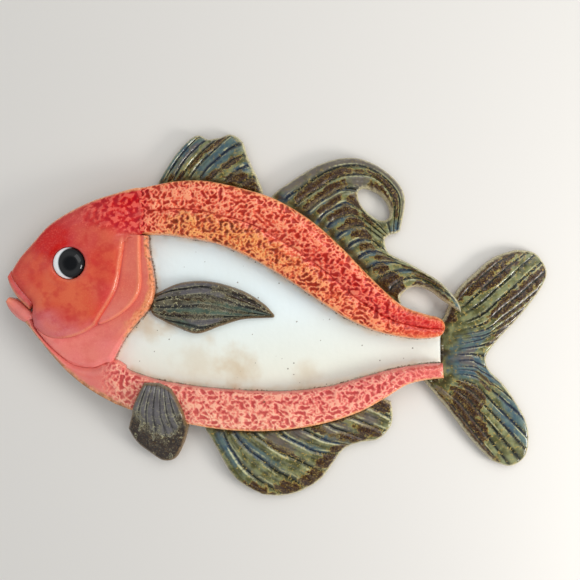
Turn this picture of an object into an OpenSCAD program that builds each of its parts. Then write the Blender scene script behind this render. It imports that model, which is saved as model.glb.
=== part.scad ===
// Fish shaped platter of glazed stoneware, built up by hand from slabs, strips and coils of clay.
// The fish lies on its side with the nose to the left, X runs along it and Z points up.
// The origin is on the table, under the middle of the whole fish with its fins.

/* [Body] */
// Length of the body from the lower lip to the root of the tail
body_len = 322; // [280:1:380]
// Spread of the body from its back to its belly
body_w = 184; // [160:1:220]
// Thickness of the floor slab
floor_t = 7; // [6:0.5:10]
// How far the raised bands overhang the side of the floor slab
tuck = 9; // [6:0.5:10]
// How far the fins stay above the table
fin_lift = 2; // [1:0.25:3]
// Clearance between the root of a fin and the side of the floor slab
fin_gap = 0.3; // [0.2:0.05:0.5]

/* [Bands] */
// Height of the back band over the floor
back_band_h = 14; // [10:0.5:18]
// Height of the belly band over the floor
belly_band_h = 12.5; // [9:0.5:16]

/* [Head] */
// Height of the head over the floor
head_h = 17; // [14:0.5:22]
// Height of the inner gill plate over the floor
inner_gill_h = 11.5; // [9:0.5:14]
// Height of the outer gill plate over the floor
outer_gill_h = 10; // [7:0.5:12]
// Height of the upper lip over the floor
upper_lip_h = 12.5; // [8:0.5:14]
// Height of the lower lip over the floor
lower_lip_h = 9.5; // [6:0.5:12]
// Diameter of the eyeball
eye_d = 22.6; // [18:0.2:26]
// Height of the eyeball from its seat to its top
eye_h = 15; // [12:0.5:18]
// Height of the eyeball's domed top
eye_dome_h = 6.5; // [4:0.5:9]
// Height of the seat of the eyeball over the floor
eye_seat_h = 6; // [3:0.5:8]
// Clearance around the eyeball in its socket
eye_gap = 0.3; // [0.2:0.05:0.5]

/* [Front dorsal fin] */
// Length of the front dorsal fin along the back
front_fin_len = 83; // [70:1:96]
// Spread of the front dorsal fin from its root to its tip
front_fin_spread = 57; // [48:1:70]
// Number of ribs of the front dorsal fin
front_fin_ribs = 7; // [5:1:9]

/* [Rear dorsal fin] */
// Length of the rear dorsal fin along the back
rear_fin_len = 147; // [138:1:156]
// Spread of the rear dorsal fin across the back
rear_fin_spread = 115; // [108:1:122]
// Number of ribs of the rear dorsal fin
rear_fin_ribs = 12; // [9:1:14]

/* [Tail fin] */
// Length of the tail fin behind the body
tail_len = 94; // [80:1:110]
// Spread of the tail fin from lobe to lobe
tail_spread = 161; // [140:1:180]
// How far the root of the tail fin reaches under the ends of the bands
tail_tuck = 1.8; // [1.4:0.1:2.5]
// Number of ribs of the tail fin
tail_ribs = 18; // [14:1:20]

/* [Anal fin] */
// Length of the anal fin along the belly
anal_fin_len = 146; // [130:1:156]
// Spread of the anal fin from its root to its tip
anal_fin_spread = 79; // [68:1:90]
// Number of ribs of the anal fin
anal_fin_ribs = 9; // [7:1:11]

/* [Pelvic fin] */
// Width of the pelvic fin
pelvic_fin_w = 45; // [36:1:54]
// Length of the pelvic fin from its root to its tip
pelvic_fin_len = 59; // [50:1:70]
// Thickness of the pelvic fin where it lies over the belly band
pelvic_fin_t = 4.5; // [3.5:0.25:6]
// Number of ribs of the pelvic fin
pelvic_fin_ribs = 7; // [5:1:9]

/* [Pectoral fin] */
// Length of the pectoral fin that lies on the floor
pectoral_fin_len = 92; // [78:1:106]
// Width of the pectoral fin
pectoral_fin_w = 39; // [32:1:46]
// Thickness of the pectoral fin
pectoral_fin_t = 5; // [4:0.25:7]
// Number of ribs of the pectoral fin
pectoral_fin_ribs = 6; // [4:1:8]

/* [Ribs] */
// Height of the ribs over the grooves between them
rib_relief = 1.5; // [0.8:0.1:2]

/* [Hidden] */

// The top of the floor, where the bands, the head and the pectoral fin lie, and the fins' thickness
floor_z = floor_t;
fin_t = floor_t - fin_lift;
// The overrun of all cuts, and the number of straight steps between two points of a line or ribs
overrun = 1;
line_steps = 3;
rib_steps = 4;
eye_facets = 96;

// Lines of the body as shares of its length and its spread, all from the head to the tail
head_top_shares = [[-0.486, 0.137], [-0.468, 0.189], [-0.438, 0.250], [-0.398, 0.326],
    [-0.341, 0.389], [-0.273, 0.439], [-0.186, 0.473]];
back_outer_shares = [[-0.186, 0.473], [-0.114, 0.497], [-0.046, 0.499], [0.034, 0.471],
    [0.113, 0.427], [0.193, 0.344], [0.261, 0.240], [0.329, 0.117], [0.397, 0.010],
    [0.454, -0.030], [0.481, -0.042], [0.495, -0.058], [0.500, -0.082]];
back_inner_shares = [[-0.186, 0.284], [-0.136, 0.281], [-0.080, 0.268], [-0.016, 0.244],
    [0.052, 0.194], [0.125, 0.121], [0.197, 0.038], [0.272, -0.048], [0.347, -0.104],
    [0.420, -0.129], [0.465, -0.129], [0.488, -0.119], [0.497, -0.102]];
belly_outer_shares = [[-0.458, -0.060], [-0.443, -0.090], [-0.420, -0.141], [-0.393, -0.199],
    [-0.357, -0.266], [-0.314, -0.326], [-0.268, -0.374], [-0.218, -0.412], [-0.148, -0.446],
    [-0.080, -0.472], [0.000, -0.493], [0.079, -0.499], [0.159, -0.489], [0.238, -0.462],
    [0.306, -0.421], [0.363, -0.368], [0.409, -0.318], [0.454, -0.296], [0.497, -0.288]];
belly_inner_shares = [[-0.436, -0.042], [-0.429, -0.086], [-0.404, -0.147], [-0.375, -0.195],
    [-0.343, -0.233], [-0.298, -0.244], [-0.257, -0.221], [-0.216, -0.260], [-0.152, -0.296],
    [-0.080, -0.318], [0.000, -0.332], [0.079, -0.340], [0.159, -0.338], [0.234, -0.322],
    [0.302, -0.290], [0.361, -0.262], [0.406, -0.244], [0.452, -0.232], [0.495, -0.228]];
gill_front_shares = [[-0.223, 0.280], [-0.225, 0.228], [-0.230, 0.173], [-0.235, 0.112],
    [-0.244, 0.057], [-0.257, 0.012], [-0.273, -0.033], [-0.289, -0.078]];
gill_rear_shares = [[-0.189, 0.280], [-0.189, 0.220], [-0.188, 0.157], [-0.187, 0.089],
    [-0.196, 0.036], [-0.219, -0.012], [-0.250, -0.050], [-0.289, -0.078]];
chin_line_shares = [[-0.289, -0.078], [-0.316, -0.108], [-0.350, -0.129], [-0.382, -0.133],
    [-0.409, -0.117], [-0.429, -0.086]];
cover_line_shares = [[-0.175, 0.280], [-0.172, 0.212], [-0.163, 0.133], [-0.160, 0.061],
    [-0.171, -0.002], [-0.198, -0.060], [-0.229, -0.130], [-0.257, -0.221]];
lip_outer_shares = [[-0.492, 0.113], [-0.486, 0.077], [-0.476, 0.046], [-0.461, 0.016],
    [-0.443, -0.014]];
lip_inner_shares = [[-0.486, 0.137], [-0.475, 0.099], [-0.462, 0.068], [-0.447, 0.038],
    [-0.432, 0.006]];
jaw_outer_shares = [[-0.500, 0.018], [-0.495, -0.006], [-0.486, -0.028], [-0.473, -0.046],
    [-0.458, -0.060]];
jaw_inner_shares = [[-0.493, 0.036], [-0.480, 0.026], [-0.467, 0.006], [-0.453, -0.017],
    [-0.436, -0.042]];
eye_at_shares = [-0.346, 0.169];
head_centre_shares = [-0.335, 0.130];

// Sections across the strips, each point a share of the width and a share of the height
back_section_shares = [[0, 0.30], [0.03, 0.58], [0.09, 0.76], [0.20, 0.88], [0.33, 0.90], [0.43, 0.84],
    [0.48, 0.78], [0.54, 0.87], [0.66, 0.98], [0.80, 0.95], [0.90, 0.78], [0.97, 0.54], [1, 0.30]];
belly_section_shares = [[0, 0.32], [0.04, 0.60], [0.13, 0.84], [0.30, 0.98], [0.52, 1], [0.72, 0.92],
    [0.87, 0.72], [0.96, 0.48], [1, 0.26]];
inner_gill_section_shares = [[0, 1], [0.4, 1], [0.75, 0.97], [0.92, 0.88], [1, 0.72]];
outer_gill_section_shares = [[0, 0.86], [0.25, 0.96], [0.6, 1], [0.82, 0.93], [0.94, 0.78], [1, 0.52]];
lip_section_shares = [[0, 0.45], [0.12, 0.75], [0.4, 1], [0.7, 0.97], [1, 0.82]];
jaw_section_shares = [[0, 0.48], [0.15, 0.8], [0.45, 1], [0.8, 0.8], [1, 0.45]];

// The head rolls up from its edge in rings: how far each is on the way to the middle, and how high
head_ring_shares = [0, 0.025, 0.07, 0.15, 0.29, 0.5, 0.75];
head_rise_shares = [0, 0.40, 0.64, 0.82, 0.92, 0.97, 0.992];
// Height of the head's edge at its outline, its nape, its gill, its chin, its throat and its lip
brow_edge_share = 0.32;
nape_edge_share = 0.66;
gill_edge_share = 0.76;
chin_edge_share = 0.66;
throat_edge_share = 0.50;
lip_edge_share = 0.62;
nape_steps = 4;

// Rows of points along a fin from the body's outline to its tip, after one row at its root
fin_row_shares = [0, 0.08, 0.2, 0.32, 0.44, 0.56, 0.68, 0.8, 0.88, 0.94, 0.98, 1];
// How thick a fin is in each row, how high its ribs are there, and how thick its sides are
fin_thick_shares = [1, 1, 1, 1, 0.99, 0.98, 0.97, 0.95, 0.92, 0.86, 0.77, 0.64, 0.42];
fin_rib_shares = [0, 0, 0.7, 1, 1, 1, 1, 1, 1, 1, 0.9, 0.8, 0.5];
fin_side_share = 0.6;
// The same for the leaves that lie on the dish, which have a row more instead of the root's
leaf_row_shares = [0, 0.1, 0.2, 0.3, 0.4, 0.5, 0.6, 0.7, 0.8, 0.88, 0.94, 0.98, 1];
leaf_thick_shares = [0.7, 0.9, 1, 1, 1, 0.98, 0.95, 0.9, 0.84, 0.76, 0.66, 0.54, 0.42];
leaf_rib_shares = [for (row = leaf_row_shares) 1];

// Where the roots of the fins begin and end, as shares of the line of the back and of the belly
front_root_shares = [0.356, 0.535];
rear_root_shares = [0.547, 0.784];
anal_root_shares = [0.519, 0.842];
tail_root_shares = [[0.4965, -0.050], [0.4965, -0.100], [0.4955, -0.165], [0.4950, -0.228],
    [0.4955, -0.280], [0.478, -0.294], [0.458, -0.297]];

// The places of the fins on the body, as shares of its length and its spread
front_fin_at_shares = [-0.173, 0.438];
rear_fin_at_shares = [0.083, 0.390];
tail_at_shares = [0.477, -0.179];
anal_fin_at_shares = [-0.068, -0.427];
pelvic_fin_at_shares = [-0.181, -0.300];
pectoral_fin_at_shares = [-0.175, 0.006];

// The guide ribs of the fins from root to tip, as shares of each fin's own length and spread
front_fin_shares = [
    [[0.18, 0.47], [0.435, 0.82]],
    [[0.33, 0.45], [0.505, 0.765]],
    [[0.46, 0.465], [0.595, 0.785]],
    [[0.595, 0.465], [0.70, 0.835]],
    [[0.72, 0.425], [0.79, 0.795]],
    [[0.815, 0.285], [0.845, 0.595]],
    [[0.905, 0.14], [0.90, 0.415]],
    [[1.0, 0.06], [0.995, 0.115]]];
rear_fin_shares = [
    [[0.115, 0.16], [0.30, 0.30], [0.475, 0.335], [0.63, 0.245], [0.722, 0.09], [0.70, -0.14]],
    [[0.175, 0.105], [0.335, 0.235], [0.48, 0.27], [0.60, 0.205], [0.685, 0.065], [0.675, -0.155]],
    [[0.24, 0.06], [0.375, 0.175], [0.485, 0.20], [0.575, 0.16], [0.652, 0.035], [0.655, -0.16]],
    [[0.30, -0.005], [0.40, 0.075], [0.47, 0.06], [0.53, -0.015], [0.595, -0.085], [0.642, -0.167]],
    [[0.355, -0.065], [0.435, -0.02], [0.49, -0.045], [0.537, -0.085], [0.582, -0.13], [0.63, -0.18]],
    [[0.41, -0.145], [0.47, -0.115], [0.517, -0.115], [0.552, -0.14], [0.587, -0.173], [0.622, -0.205]],
    [[0.475, -0.225], [0.522, -0.207], [0.558, -0.215], [0.582, -0.238], [0.605, -0.26], [0.645, -0.283]],
    [[0.54, -0.315], [0.59, -0.302], [0.632, -0.315], [0.669, -0.333], [0.706, -0.349], [0.75, -0.352]],
    [[0.60, -0.395], [0.652, -0.375], [0.707, -0.37], [0.762, -0.388], [0.818, -0.417], [0.878, -0.452]],
    [[0.65, -0.475], [0.702, -0.44], [0.762, -0.43], [0.833, -0.458], [0.903, -0.515], [0.978, -0.59]],
    [[0.70, -0.57], [0.732, -0.52], [0.782, -0.50], [0.848, -0.526], [0.913, -0.596], [0.998, -0.667]]];
loop_hole_shares = [[0.484, 0.103], [0.507, 0.135], [0.552, 0.125], [0.597, 0.093], [0.632, 0.038],
    [0.647, -0.019], [0.635, -0.061], [0.592, -0.067], [0.537, -0.022], [0.497, 0.038]];
tail_shares = [
    [[0.195, 0.275], [0.44, 0.41], [0.667, 0.465]],
    [[0.25, 0.245], [0.535, 0.385], [0.816, 0.449]],
    [[0.30, 0.215], [0.61, 0.345], [0.906, 0.375]],
    [[0.315, 0.175], [0.61, 0.285], [0.886, 0.311]],
    [[0.315, 0.13], [0.58, 0.22], [0.80, 0.234]],
    [[0.28, 0.085], [0.50, 0.145], [0.667, 0.14]],
    [[0.25, 0.04], [0.40, 0.06], [0.525, 0.05]],
    [[0.22, 0], [0.33, 0], [0.43, -0.027]],
    [[0.22, -0.04], [0.33, -0.065], [0.45, -0.09]],
    [[0.235, -0.09], [0.39, -0.137], [0.573, -0.165]],
    [[0.265, -0.156], [0.47, -0.22], [0.667, -0.247]],
    [[0.28, -0.21], [0.525, -0.30], [0.74, -0.325]],
    [[0.265, -0.245], [0.53, -0.365], [0.765, -0.41]],
    [[0.225, -0.275], [0.485, -0.40], [0.735, -0.495]],
    [[0.18, -0.285], [0.425, -0.425], [0.62, -0.538]],
    [[0.12, -0.275], [0.32, -0.425], [0.475, -0.515]]];
anal_fin_shares = [
    [[0.085, -0.30], [0.19, -0.625], [0.333, -0.79]],
    [[0.16, -0.335], [0.275, -0.597], [0.44, -0.798]],
    [[0.24, -0.345], [0.37, -0.54], [0.54, -0.747]],
    [[0.335, -0.315], [0.47, -0.465], [0.636, -0.635]],
    [[0.43, -0.27], [0.56, -0.39], [0.70, -0.476]],
    [[0.525, -0.225], [0.64, -0.315], [0.757, -0.35]],
    [[0.62, -0.175], [0.727, -0.26], [0.838, -0.294]],
    [[0.717, -0.11], [0.82, -0.185], [0.924, -0.266]],
    [[0.80, -0.035], [0.895, -0.103], [0.985, -0.159]],
    [[0.88, 0.055], [0.94, 0.01], [1, -0.037]],
    [[0.93, 0.15], [0.965, 0.11], [0.99, 0.093]]];
pelvic_fin_shares = [
    [[0, 0], [-0.145, -0.235], [-0.24, -0.445], [-0.315, -0.60]],
    [[0.08, 0], [-0.03, -0.285], [-0.10, -0.54], [-0.18, -0.775]],
    [[0.16, -0.005], [0.09, -0.33], [0.055, -0.615], [0.03, -0.905]],
    [[0.24, -0.01], [0.225, -0.355], [0.24, -0.68], [0.26, -1.01]],
    [[0.305, -0.03], [0.355, -0.355], [0.42, -0.665], [0.465, -0.975]],
    [[0.37, -0.05], [0.465, -0.32], [0.565, -0.615], [0.612, -0.77]],
    [[0.435, -0.075], [0.55, -0.21], [0.645, -0.38], [0.693, -0.565]]];
pectoral_fin_shares = [
    [[0.065, 0.225], [0.24, 0.41], [0.475, 0.44], [0.73, 0.28], [0.906, 0.035], [0.99, -0.17]],
    [[0.015, 0.11], [0.255, 0.28], [0.49, 0.29], [0.715, 0.15], [0.875, -0.04], [1, -0.195]],
    [[0, 0.02], [0.255, 0.13], [0.475, 0.12], [0.685, 0], [0.845, -0.11], [1, -0.207]],
    [[0, -0.055], [0.255, -0.04], [0.46, -0.055], [0.65, -0.13], [0.825, -0.18], [1, -0.218]],
    [[0.01, -0.13], [0.24, -0.205], [0.435, -0.245], [0.62, -0.245], [0.81, -0.225], [1, -0.23]],
    [[0.025, -0.185], [0.215, -0.32], [0.405, -0.41], [0.59, -0.337], [0.78, -0.262], [0.998, -0.242]],
    [[0.055, -0.245], [0.215, -0.43], [0.38, -0.553], [0.57, -0.41], [0.755, -0.28], [0.985, -0.252]]];

// Where the lower strand of the rear dorsal fin begins and ends its climb onto the tail, as shares
// of the fin's length
strand_climb_shares = [0.83, 0.92];

// The pelvic fin climbs over the belly band and comes down outside it. By its place across the band,
// from 0 at the inner edge to 1 at the outer one and on beyond it: its upper side over the floor as
// a share of the band's height, and its underside as a share of the floor's
pelvic_top_shares = [[0, 0.50], [0.04, 0.70], [0.13, 0.88], [0.30, 1], [0.52, 1.02], [0.72, 0.97],
    [0.87, 0.85], [1, 0.62], [1.15, 0.38], [1.4, 0.16], [1.8, 0.04], [2.4, -0.03], [3.2, -0.12]];
pelvic_under_shares = [[0, 1.15], [1, 1.15], [1.05, 1.1], [1.3, 0.75], [1.6, 0.5], [2, 0.35], [3.2, 0.3]];
pelvic_thick_shares = [1, 1, 1, 1, 1, 1, 1, 0.98, 0.94, 0.88, 0.8, 0.7, 0.52];

// Where the numbered points of shared lines begin and end
throat_start = line_steps;
cover_end = 6 * line_steps;

// Point at t between b and c on the smooth curve through a, b, c and d
function bend(a, b, c, d, t) =
    b + t / 2 * (c - a + t * (2 * a - 5 * b + 4 * c - d + t * (3 * (b - c) + d - a)));

// Item i of a list, or its first or last item where i runs past an end
function pick(list, i) = list[min(max(i, 0), len(list) - 1)];

// Point on the smooth curve through a list, at a share of its way
function along(list, share) =
    let (place = share * (len(list) - 1), i = min(floor(place), len(list) - 2))
    bend(pick(list, i - 1), pick(list, i), pick(list, i + 1), pick(list, i + 2), place - i);

// Even places from 0 to 1
function even(steps) = [for (k = [0 : steps]) k / steps];

// Points of a smooth line, an open one and a closed one
function smooth(list) = [for (s = even(line_steps * (len(list) - 1))) along(list, s)];
function smooth_loop(list) =
    let (n = len(list))
    [for (i = [0 : n - 1], k = [0 : line_steps - 1])
        bend(list[(i + n - 1) % n], list[i], list[(i + 1) % n], list[(i + 2) % n], k / line_steps)];

function part_of(list, first, last) = [for (i = [first : last]) list[i]];
function reversed(list) = [for (i = [len(list) - 1 : -1 : 0]) list[i]];
function between(a, b, share) = a + (b - a) * share;
function on_body(shares) = [for (p = shares) [p[0] * body_len, p[1] * body_w]];
function body_line(shares) = smooth(on_body(shares));

// A line moved sideways by a distance, to the right of its direction
function moved_aside(line, distance) =
    [for (i = [0 : len(line) - 1])
        let (run = pick(line, i + 1) - pick(line, i - 1))
        line[i] + distance / norm(run) * [run[1], -run[0]]];

// Twice the signed area of a closed outline, positive where it turns to the left
function turning(loop) =
    let (n = len(loop), turns = [for (i = [0 : n - 1]) cross(loop[i], loop[(i + 1) % n])])
    turns * [for (t = turns) 1];

// The rim of a grid of points, as pairs of row and column
function rim_places(rows, columns) = concat(
    [for (c = [0 : columns - 1]) [0, c]],
    [for (r = [1 : rows - 1]) [r, columns - 1]],
    [for (c = [columns - 2 : -1 : 0]) [rows - 1, c]],
    [for (r = [rows - 2 : -1 : 1]) [r, 0]]);
function rim_of(grid) =
    [for (k = rim_places(len(grid), len(grid[0]))) [grid[k[0]][k[1]][0], grid[k[0]][k[1]][1]]];

// The lines of the body in millimetres
head_top = body_line(head_top_shares);
back_outer = body_line(back_outer_shares);
back_inner = body_line(back_inner_shares);
belly_outer = body_line(belly_outer_shares);
belly_inner = body_line(belly_inner_shares);
gill_front = body_line(gill_front_shares);
gill_rear = body_line(gill_rear_shares);
chin_line = body_line(chin_line_shares);
cover_line = body_line(cover_line_shares);
lip_outer = body_line(lip_outer_shares);
lip_inner = body_line(lip_inner_shares);
jaw_outer = body_line(jaw_outer_shares);
jaw_inner = body_line(jaw_inner_shares);
eye_at = on_body([eye_at_shares])[0];
head_centre = on_body([head_centre_shares])[0];

// The outline of the body, and that of the floor slab, which is drawn in under the bands
back_line = concat(head_top, part_of(back_outer, 1, len(back_outer) - 1));
tail_end = [back_inner[len(back_inner) - 1], belly_inner[len(belly_inner) - 1]];
body_outline = concat(back_line, tail_end, reversed(belly_outer));
floor_outline = concat(
    moved_aside(part_of(back_line, line_steps, len(back_line) - 1 - 2 * line_steps), tuck),
    tail_end,
    moved_aside(reversed(belly_outer), tuck));
outer_gill_upper = concat(gill_rear, part_of(chin_line, 1, len(chin_line) - 2));
outer_gill_lower = concat(cover_line, reversed(part_of(belly_inner, throat_start + 1, cover_end - 1)));

// Guide ribs of a fin in millimetres, and its grid of points seen from above, where a row holds a
// point for each step across the ribs
function on_fin(at_shares, length, spread, guides) =
    let (at = on_body([at_shares])[0])
    [for (guide = guides) [for (p = guide) at + [p[0] * length, p[1] * spread]]];
function across(guides, row, column) = along([for (guide = guides) guide[row]], column);
function leaf_grid(guides, ribs) =
    [for (row = leaf_row_shares)
        let (places = [for (guide = guides) along(guide, row)])
        [for (column = even(ribs * rib_steps)) along(places, column)]];
// A fin's root row lies in the body, under a band, and its next row on the body's outline
function fin_grid(guides, ribs, root_line, outline, root_shares) =
    let (
        points = len(guides[0]),
        columns = [for (column = even(ribs * rib_steps))
            let (root = between(root_shares[0], root_shares[1], column))
            concat([along(root_line, root), along(outline, root)],
                [for (k = [0 : points - 1]) across(guides, k, column)])])
    concat(
        [[for (line = columns) line[0]]],
        [for (row = fin_row_shares) [for (line = columns) along(line, (1 + row * points) / (1 + points))]]);

back_root = moved_aside(back_line, tuck - fin_gap);
back_side = moved_aside(back_line, -fin_gap);
belly_root = moved_aside(belly_outer, fin_gap - tuck);
belly_side = moved_aside(belly_outer, fin_gap);
tail_root = body_line(tail_root_shares);
tail_side = moved_aside(tail_root, -tail_tuck);
front_grid = fin_grid(
    on_fin(front_fin_at_shares, front_fin_len, front_fin_spread, front_fin_shares),
    front_fin_ribs, back_root, back_side, front_root_shares);
rear_grid = fin_grid(
    on_fin(rear_fin_at_shares, rear_fin_len, rear_fin_spread, rear_fin_shares),
    rear_fin_ribs, back_root, back_side, rear_root_shares);
tail_grid = fin_grid(
    on_fin(tail_at_shares, tail_len, tail_spread, tail_shares), tail_ribs, tail_root, tail_side, [0, 1]);
anal_grid = fin_grid(
    on_fin(anal_fin_at_shares, anal_fin_len, anal_fin_spread, anal_fin_shares),
    anal_fin_ribs, belly_root, belly_side, anal_root_shares);
pelvic_grid = leaf_grid(
    on_fin(pelvic_fin_at_shares, pelvic_fin_w, pelvic_fin_len, pelvic_fin_shares), pelvic_fin_ribs);
pectoral_grid = leaf_grid(
    on_fin(pectoral_fin_at_shares, pectoral_fin_len, pectoral_fin_w, pectoral_fin_shares),
    pectoral_fin_ribs);
loop_hole = smooth_loop(
    on_fin(rear_fin_at_shares, rear_fin_len, rear_fin_spread, [loop_hole_shares])[0]);

// The middle of the whole fish, which the origin lies under
reach = concat(jaw_outer, rim_of(front_grid), rim_of(rear_grid), rim_of(tail_grid), rim_of(anal_grid));
reach_x = [for (p = reach) p[0]];
reach_y = [for (p = reach) p[1]];
middle = [min(reach_x) + max(reach_x), min(reach_y) + max(reach_y)] / 2;

// The ridge of a rib over its groove, from 0 to 1, at column c of a fin
function ridge(c) = abs(sin(180 * c / rib_steps));
function at_side(c, ribs) = c == 0 || c == ribs * rib_steps;

// The upper side of a fin: a thickness that thins out row by row, with the ribs on it
function ribbed(grid, under_z, thickness, thick_shares, rib_shares, ribs) =
    [for (r = [0 : len(grid) - 1]) [for (c = [0 : len(grid[r]) - 1])
        let (
            share = thick_shares[r] * (at_side(c, ribs) && rib_shares[r] > 0 ? fin_side_share : 1),
            rib = rib_relief * rib_shares[r] * ridge(c))
        [grid[r][c][0], grid[r][c][1], under_z + share * (thickness + rib)]]];

// A grid of upper points that climbs from one place to another along X
function eased(share) = let (t = min(max(share, 0), 1)) t * t * (3 - 2 * t);
function climbing(top, from_x, to_x, height) =
    [for (row = top) [for (p = row) p + [0, 0, height * eased((p[0] - from_x) / (to_x - from_x))]]];
function flat(grid, z) = [for (row = grid) [for (p = row) [p[0], p[1], z]]];

// The upper side of a strip between two lines, with the given section; it drops where it ends
function strip(inner, outer, height, section, end_shares) =
    [for (i = [0 : len(inner) - 1]) [for (s = section)
        let (p = between(inner[i], outer[i], s[0]), end = pick(end_shares, len(inner) - 1 - i))
        [p[0], p[1], floor_z + height * s[1] * end]]];

// Faces of a closed solid whose upper points are a grid: its upper side, a bridge from one row of
// points to another, and the wall round its rim
function upper_faces(rows, columns) =
    [for (r = [0 : rows - 2], c = [0 : columns - 2])
        let (a = r * columns + c, b = a + columns)
        each [[a, b, b + 1], [a, b + 1, a + 1]]];
function bridge_faces(upper, lower) =
    [for (k = [0 : len(upper) - 2])
        each [[upper[k], upper[k + 1], lower[k + 1]], [upper[k], lower[k + 1], lower[k]]]];
function wall_faces(upper_rim, lower_rim) =
    bridge_faces(concat(upper_rim, [upper_rim[0]]), concat(lower_rim, [lower_rim[0]]));
function facing(faces, left_turning) =
    left_turning ? faces : [for (face = faces) reversed(face)];

// A solid with a relief on top and a flat underside
module relief(top, under_z) {
    rows = len(top);
    columns = len(top[0]);
    rim = rim_places(rows, columns);
    lower = [for (k = rim) [top[k[0]][k[1]][0], top[k[0]][k[1]][1], under_z]];
    first_lower = rows * columns;
    lower_rim = [for (k = [0 : len(rim) - 1]) first_lower + k];
    faces = concat(
        upper_faces(rows, columns),
        wall_faces([for (k = rim) k[0] * columns + k[1]], lower_rim),
        [lower_rim]);
    polyhedron(concat([for (row = top) each row], lower), facing(faces, turning(rim_of(top)) > 0));
}

// A solid strip with the given upper points, a flat underside on the floor and straight ends
module banked(top) {
    rows = len(top);
    columns = len(top[0]);
    upper_inner = [for (r = [0 : rows - 1]) r * columns];
    upper_outer = [for (i = upper_inner) i + columns - 1];
    inner = [for (r = [0 : rows - 1]) rows * columns + r];
    outer = [for (i = inner) i + rows];
    first_end = concat([for (c = [0 : columns - 1]) c], [outer[0], inner[0]]);
    last_end = concat([for (c = [1 : columns]) rows * columns - c], [inner[rows - 1], outer[rows - 1]]);
    faces = concat(
        upper_faces(rows, columns),
        bridge_faces(upper_outer, outer),
        bridge_faces(reversed(upper_inner), reversed(inner)),
        bridge_faces(outer, inner),
        [first_end, last_end]);
    points = concat([for (row = top) each row],
        [for (row = top) [row[0][0], row[0][1], floor_z]],
        [for (row = top) [row[columns - 1][0], row[columns - 1][1], floor_z]]);
    polyhedron(points, facing(faces, turning(rim_of(top)) > 0));
}

// A solid between an upper and a lower relief over the same grid
module draped(top, under) {
    rows = len(top);
    columns = len(top[0]);
    rim = [for (k = rim_places(rows, columns)) k[0] * columns + k[1]];
    count = rows * columns;
    under_faces = [for (face = upper_faces(rows, columns)) [for (i = reversed(face)) i + count]];
    faces = concat(upper_faces(rows, columns), wall_faces(rim, [for (i = rim) i + count]), under_faces);
    polyhedron(
        concat([for (row = top) each row], [for (row = under) each row]),
        facing(faces, turning(rim_of(top)) > 0));
}

// A pillow over a closed outline, with rings of points that rise to its middle
module pillow(outline, edge_shares, centre, height) {
    n = len(outline);
    rings = len(head_ring_shares);
    ring_points = [for (k = [0 : rings - 1], i = [0 : n - 1])
        let (p = between(outline[i], centre, head_ring_shares[k]))
        [p[0], p[1], floor_z + height * between(edge_shares[i], 1, head_rise_shares[k])]];
    top_index = rings * n;
    low_index = top_index + 1;
    ends = [for (z = [floor_z + height, floor_z]) [centre[0], centre[1], z]];
    lower = [for (p = outline) [p[0], p[1], floor_z]];
    lower_ring = [for (i = [0 : n - 1]) low_index + 1 + i];
    sides = [for (k = [0 : rings - 2], i = [0 : n - 1])
        let (a = k * n + i, b = k * n + (i + 1) % n)
        each [[a, a + n, b + n], [a, b + n, b]]];
    cap = [for (i = [0 : n - 1]) [(rings - 1) * n + i, top_index, (rings - 1) * n + (i + 1) % n]];
    base = [for (i = [0 : n - 1]) [lower_ring[i], lower_ring[(i + 1) % n], low_index]];
    faces = concat(sides, cap, wall_faces([for (i = [0 : n - 1]) i], lower_ring), base);
    polyhedron(concat(ring_points, ends, lower), facing(faces, turning(outline) > 0));
}

// A fin with a flat underside, its root tucked under a band
module flat_fin(grid, ribs) {
    relief(ribbed(grid, fin_lift, fin_t, fin_thick_shares, fin_rib_shares, ribs), fin_lift);
}

module place() {
    translate([-middle[0], -middle[1], 0]) children();
}

module dish_floor() {
    color("ivory") place() linear_extrude(height = floor_z) polygon(floor_outline);
}

module belly_strip() {
    banked(strip(belly_inner, belly_outer, belly_band_h, belly_section_shares, [1]));
}

module back_band() {
    tip_shares = [0.5, 0.8, 0.93, 1];
    color("tomato") place()
        banked(strip(back_inner, back_outer, back_band_h, back_section_shares, tip_shares));
}

module belly_band() {
    color("salmon") place() belly_strip();
}

module head() {
    nape = [for (k = [1 : nape_steps]) between(back_outer[0], back_inner[0], k / nape_steps)];
    chin = part_of(chin_line, 1, len(chin_line) - 1);
    throat = reversed(part_of(belly_inner, 0, throat_start - 1));
    lip = reversed(part_of(lip_inner, 1, len(lip_inner) - 1));
    outline = concat(head_top, nape, gill_front, chin, throat, lip);
    edge_shares = concat(
        [for (p = head_top) brow_edge_share],
        [for (p = nape) nape_edge_share],
        [for (p = gill_front) gill_edge_share],
        [for (p = chin) chin_edge_share],
        [for (p = throat) throat_edge_share],
        [for (p = lip) lip_edge_share]);
    color("indianred") place() difference() {
        pillow(outline, edge_shares, head_centre, head_h);
        translate([eye_at[0], eye_at[1], floor_z + eye_seat_h])
            cylinder(h = head_h + overrun, d = eye_d + 2 * eye_gap, $fn = eye_facets);
    }
}

module inner_gill_plate() {
    last = len(gill_front) - 2;
    color("salmon") place()
        banked(strip(part_of(gill_front, 0, last), part_of(gill_rear, 0, last), inner_gill_h,
            inner_gill_section_shares, [1]));
}

module outer_gill_plate() {
    color("salmon") place()
        banked(strip(outer_gill_upper, outer_gill_lower, outer_gill_h, outer_gill_section_shares, [1]));
}

module upper_lip() {
    color("indianred") place()
        banked(strip(lip_outer, lip_inner, upper_lip_h, lip_section_shares, [1]));
}

module lower_lip() {
    color("lightcoral") place()
        banked(strip(jaw_outer, jaw_inner, lower_lip_h, jaw_section_shares, [1]));
}

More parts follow.
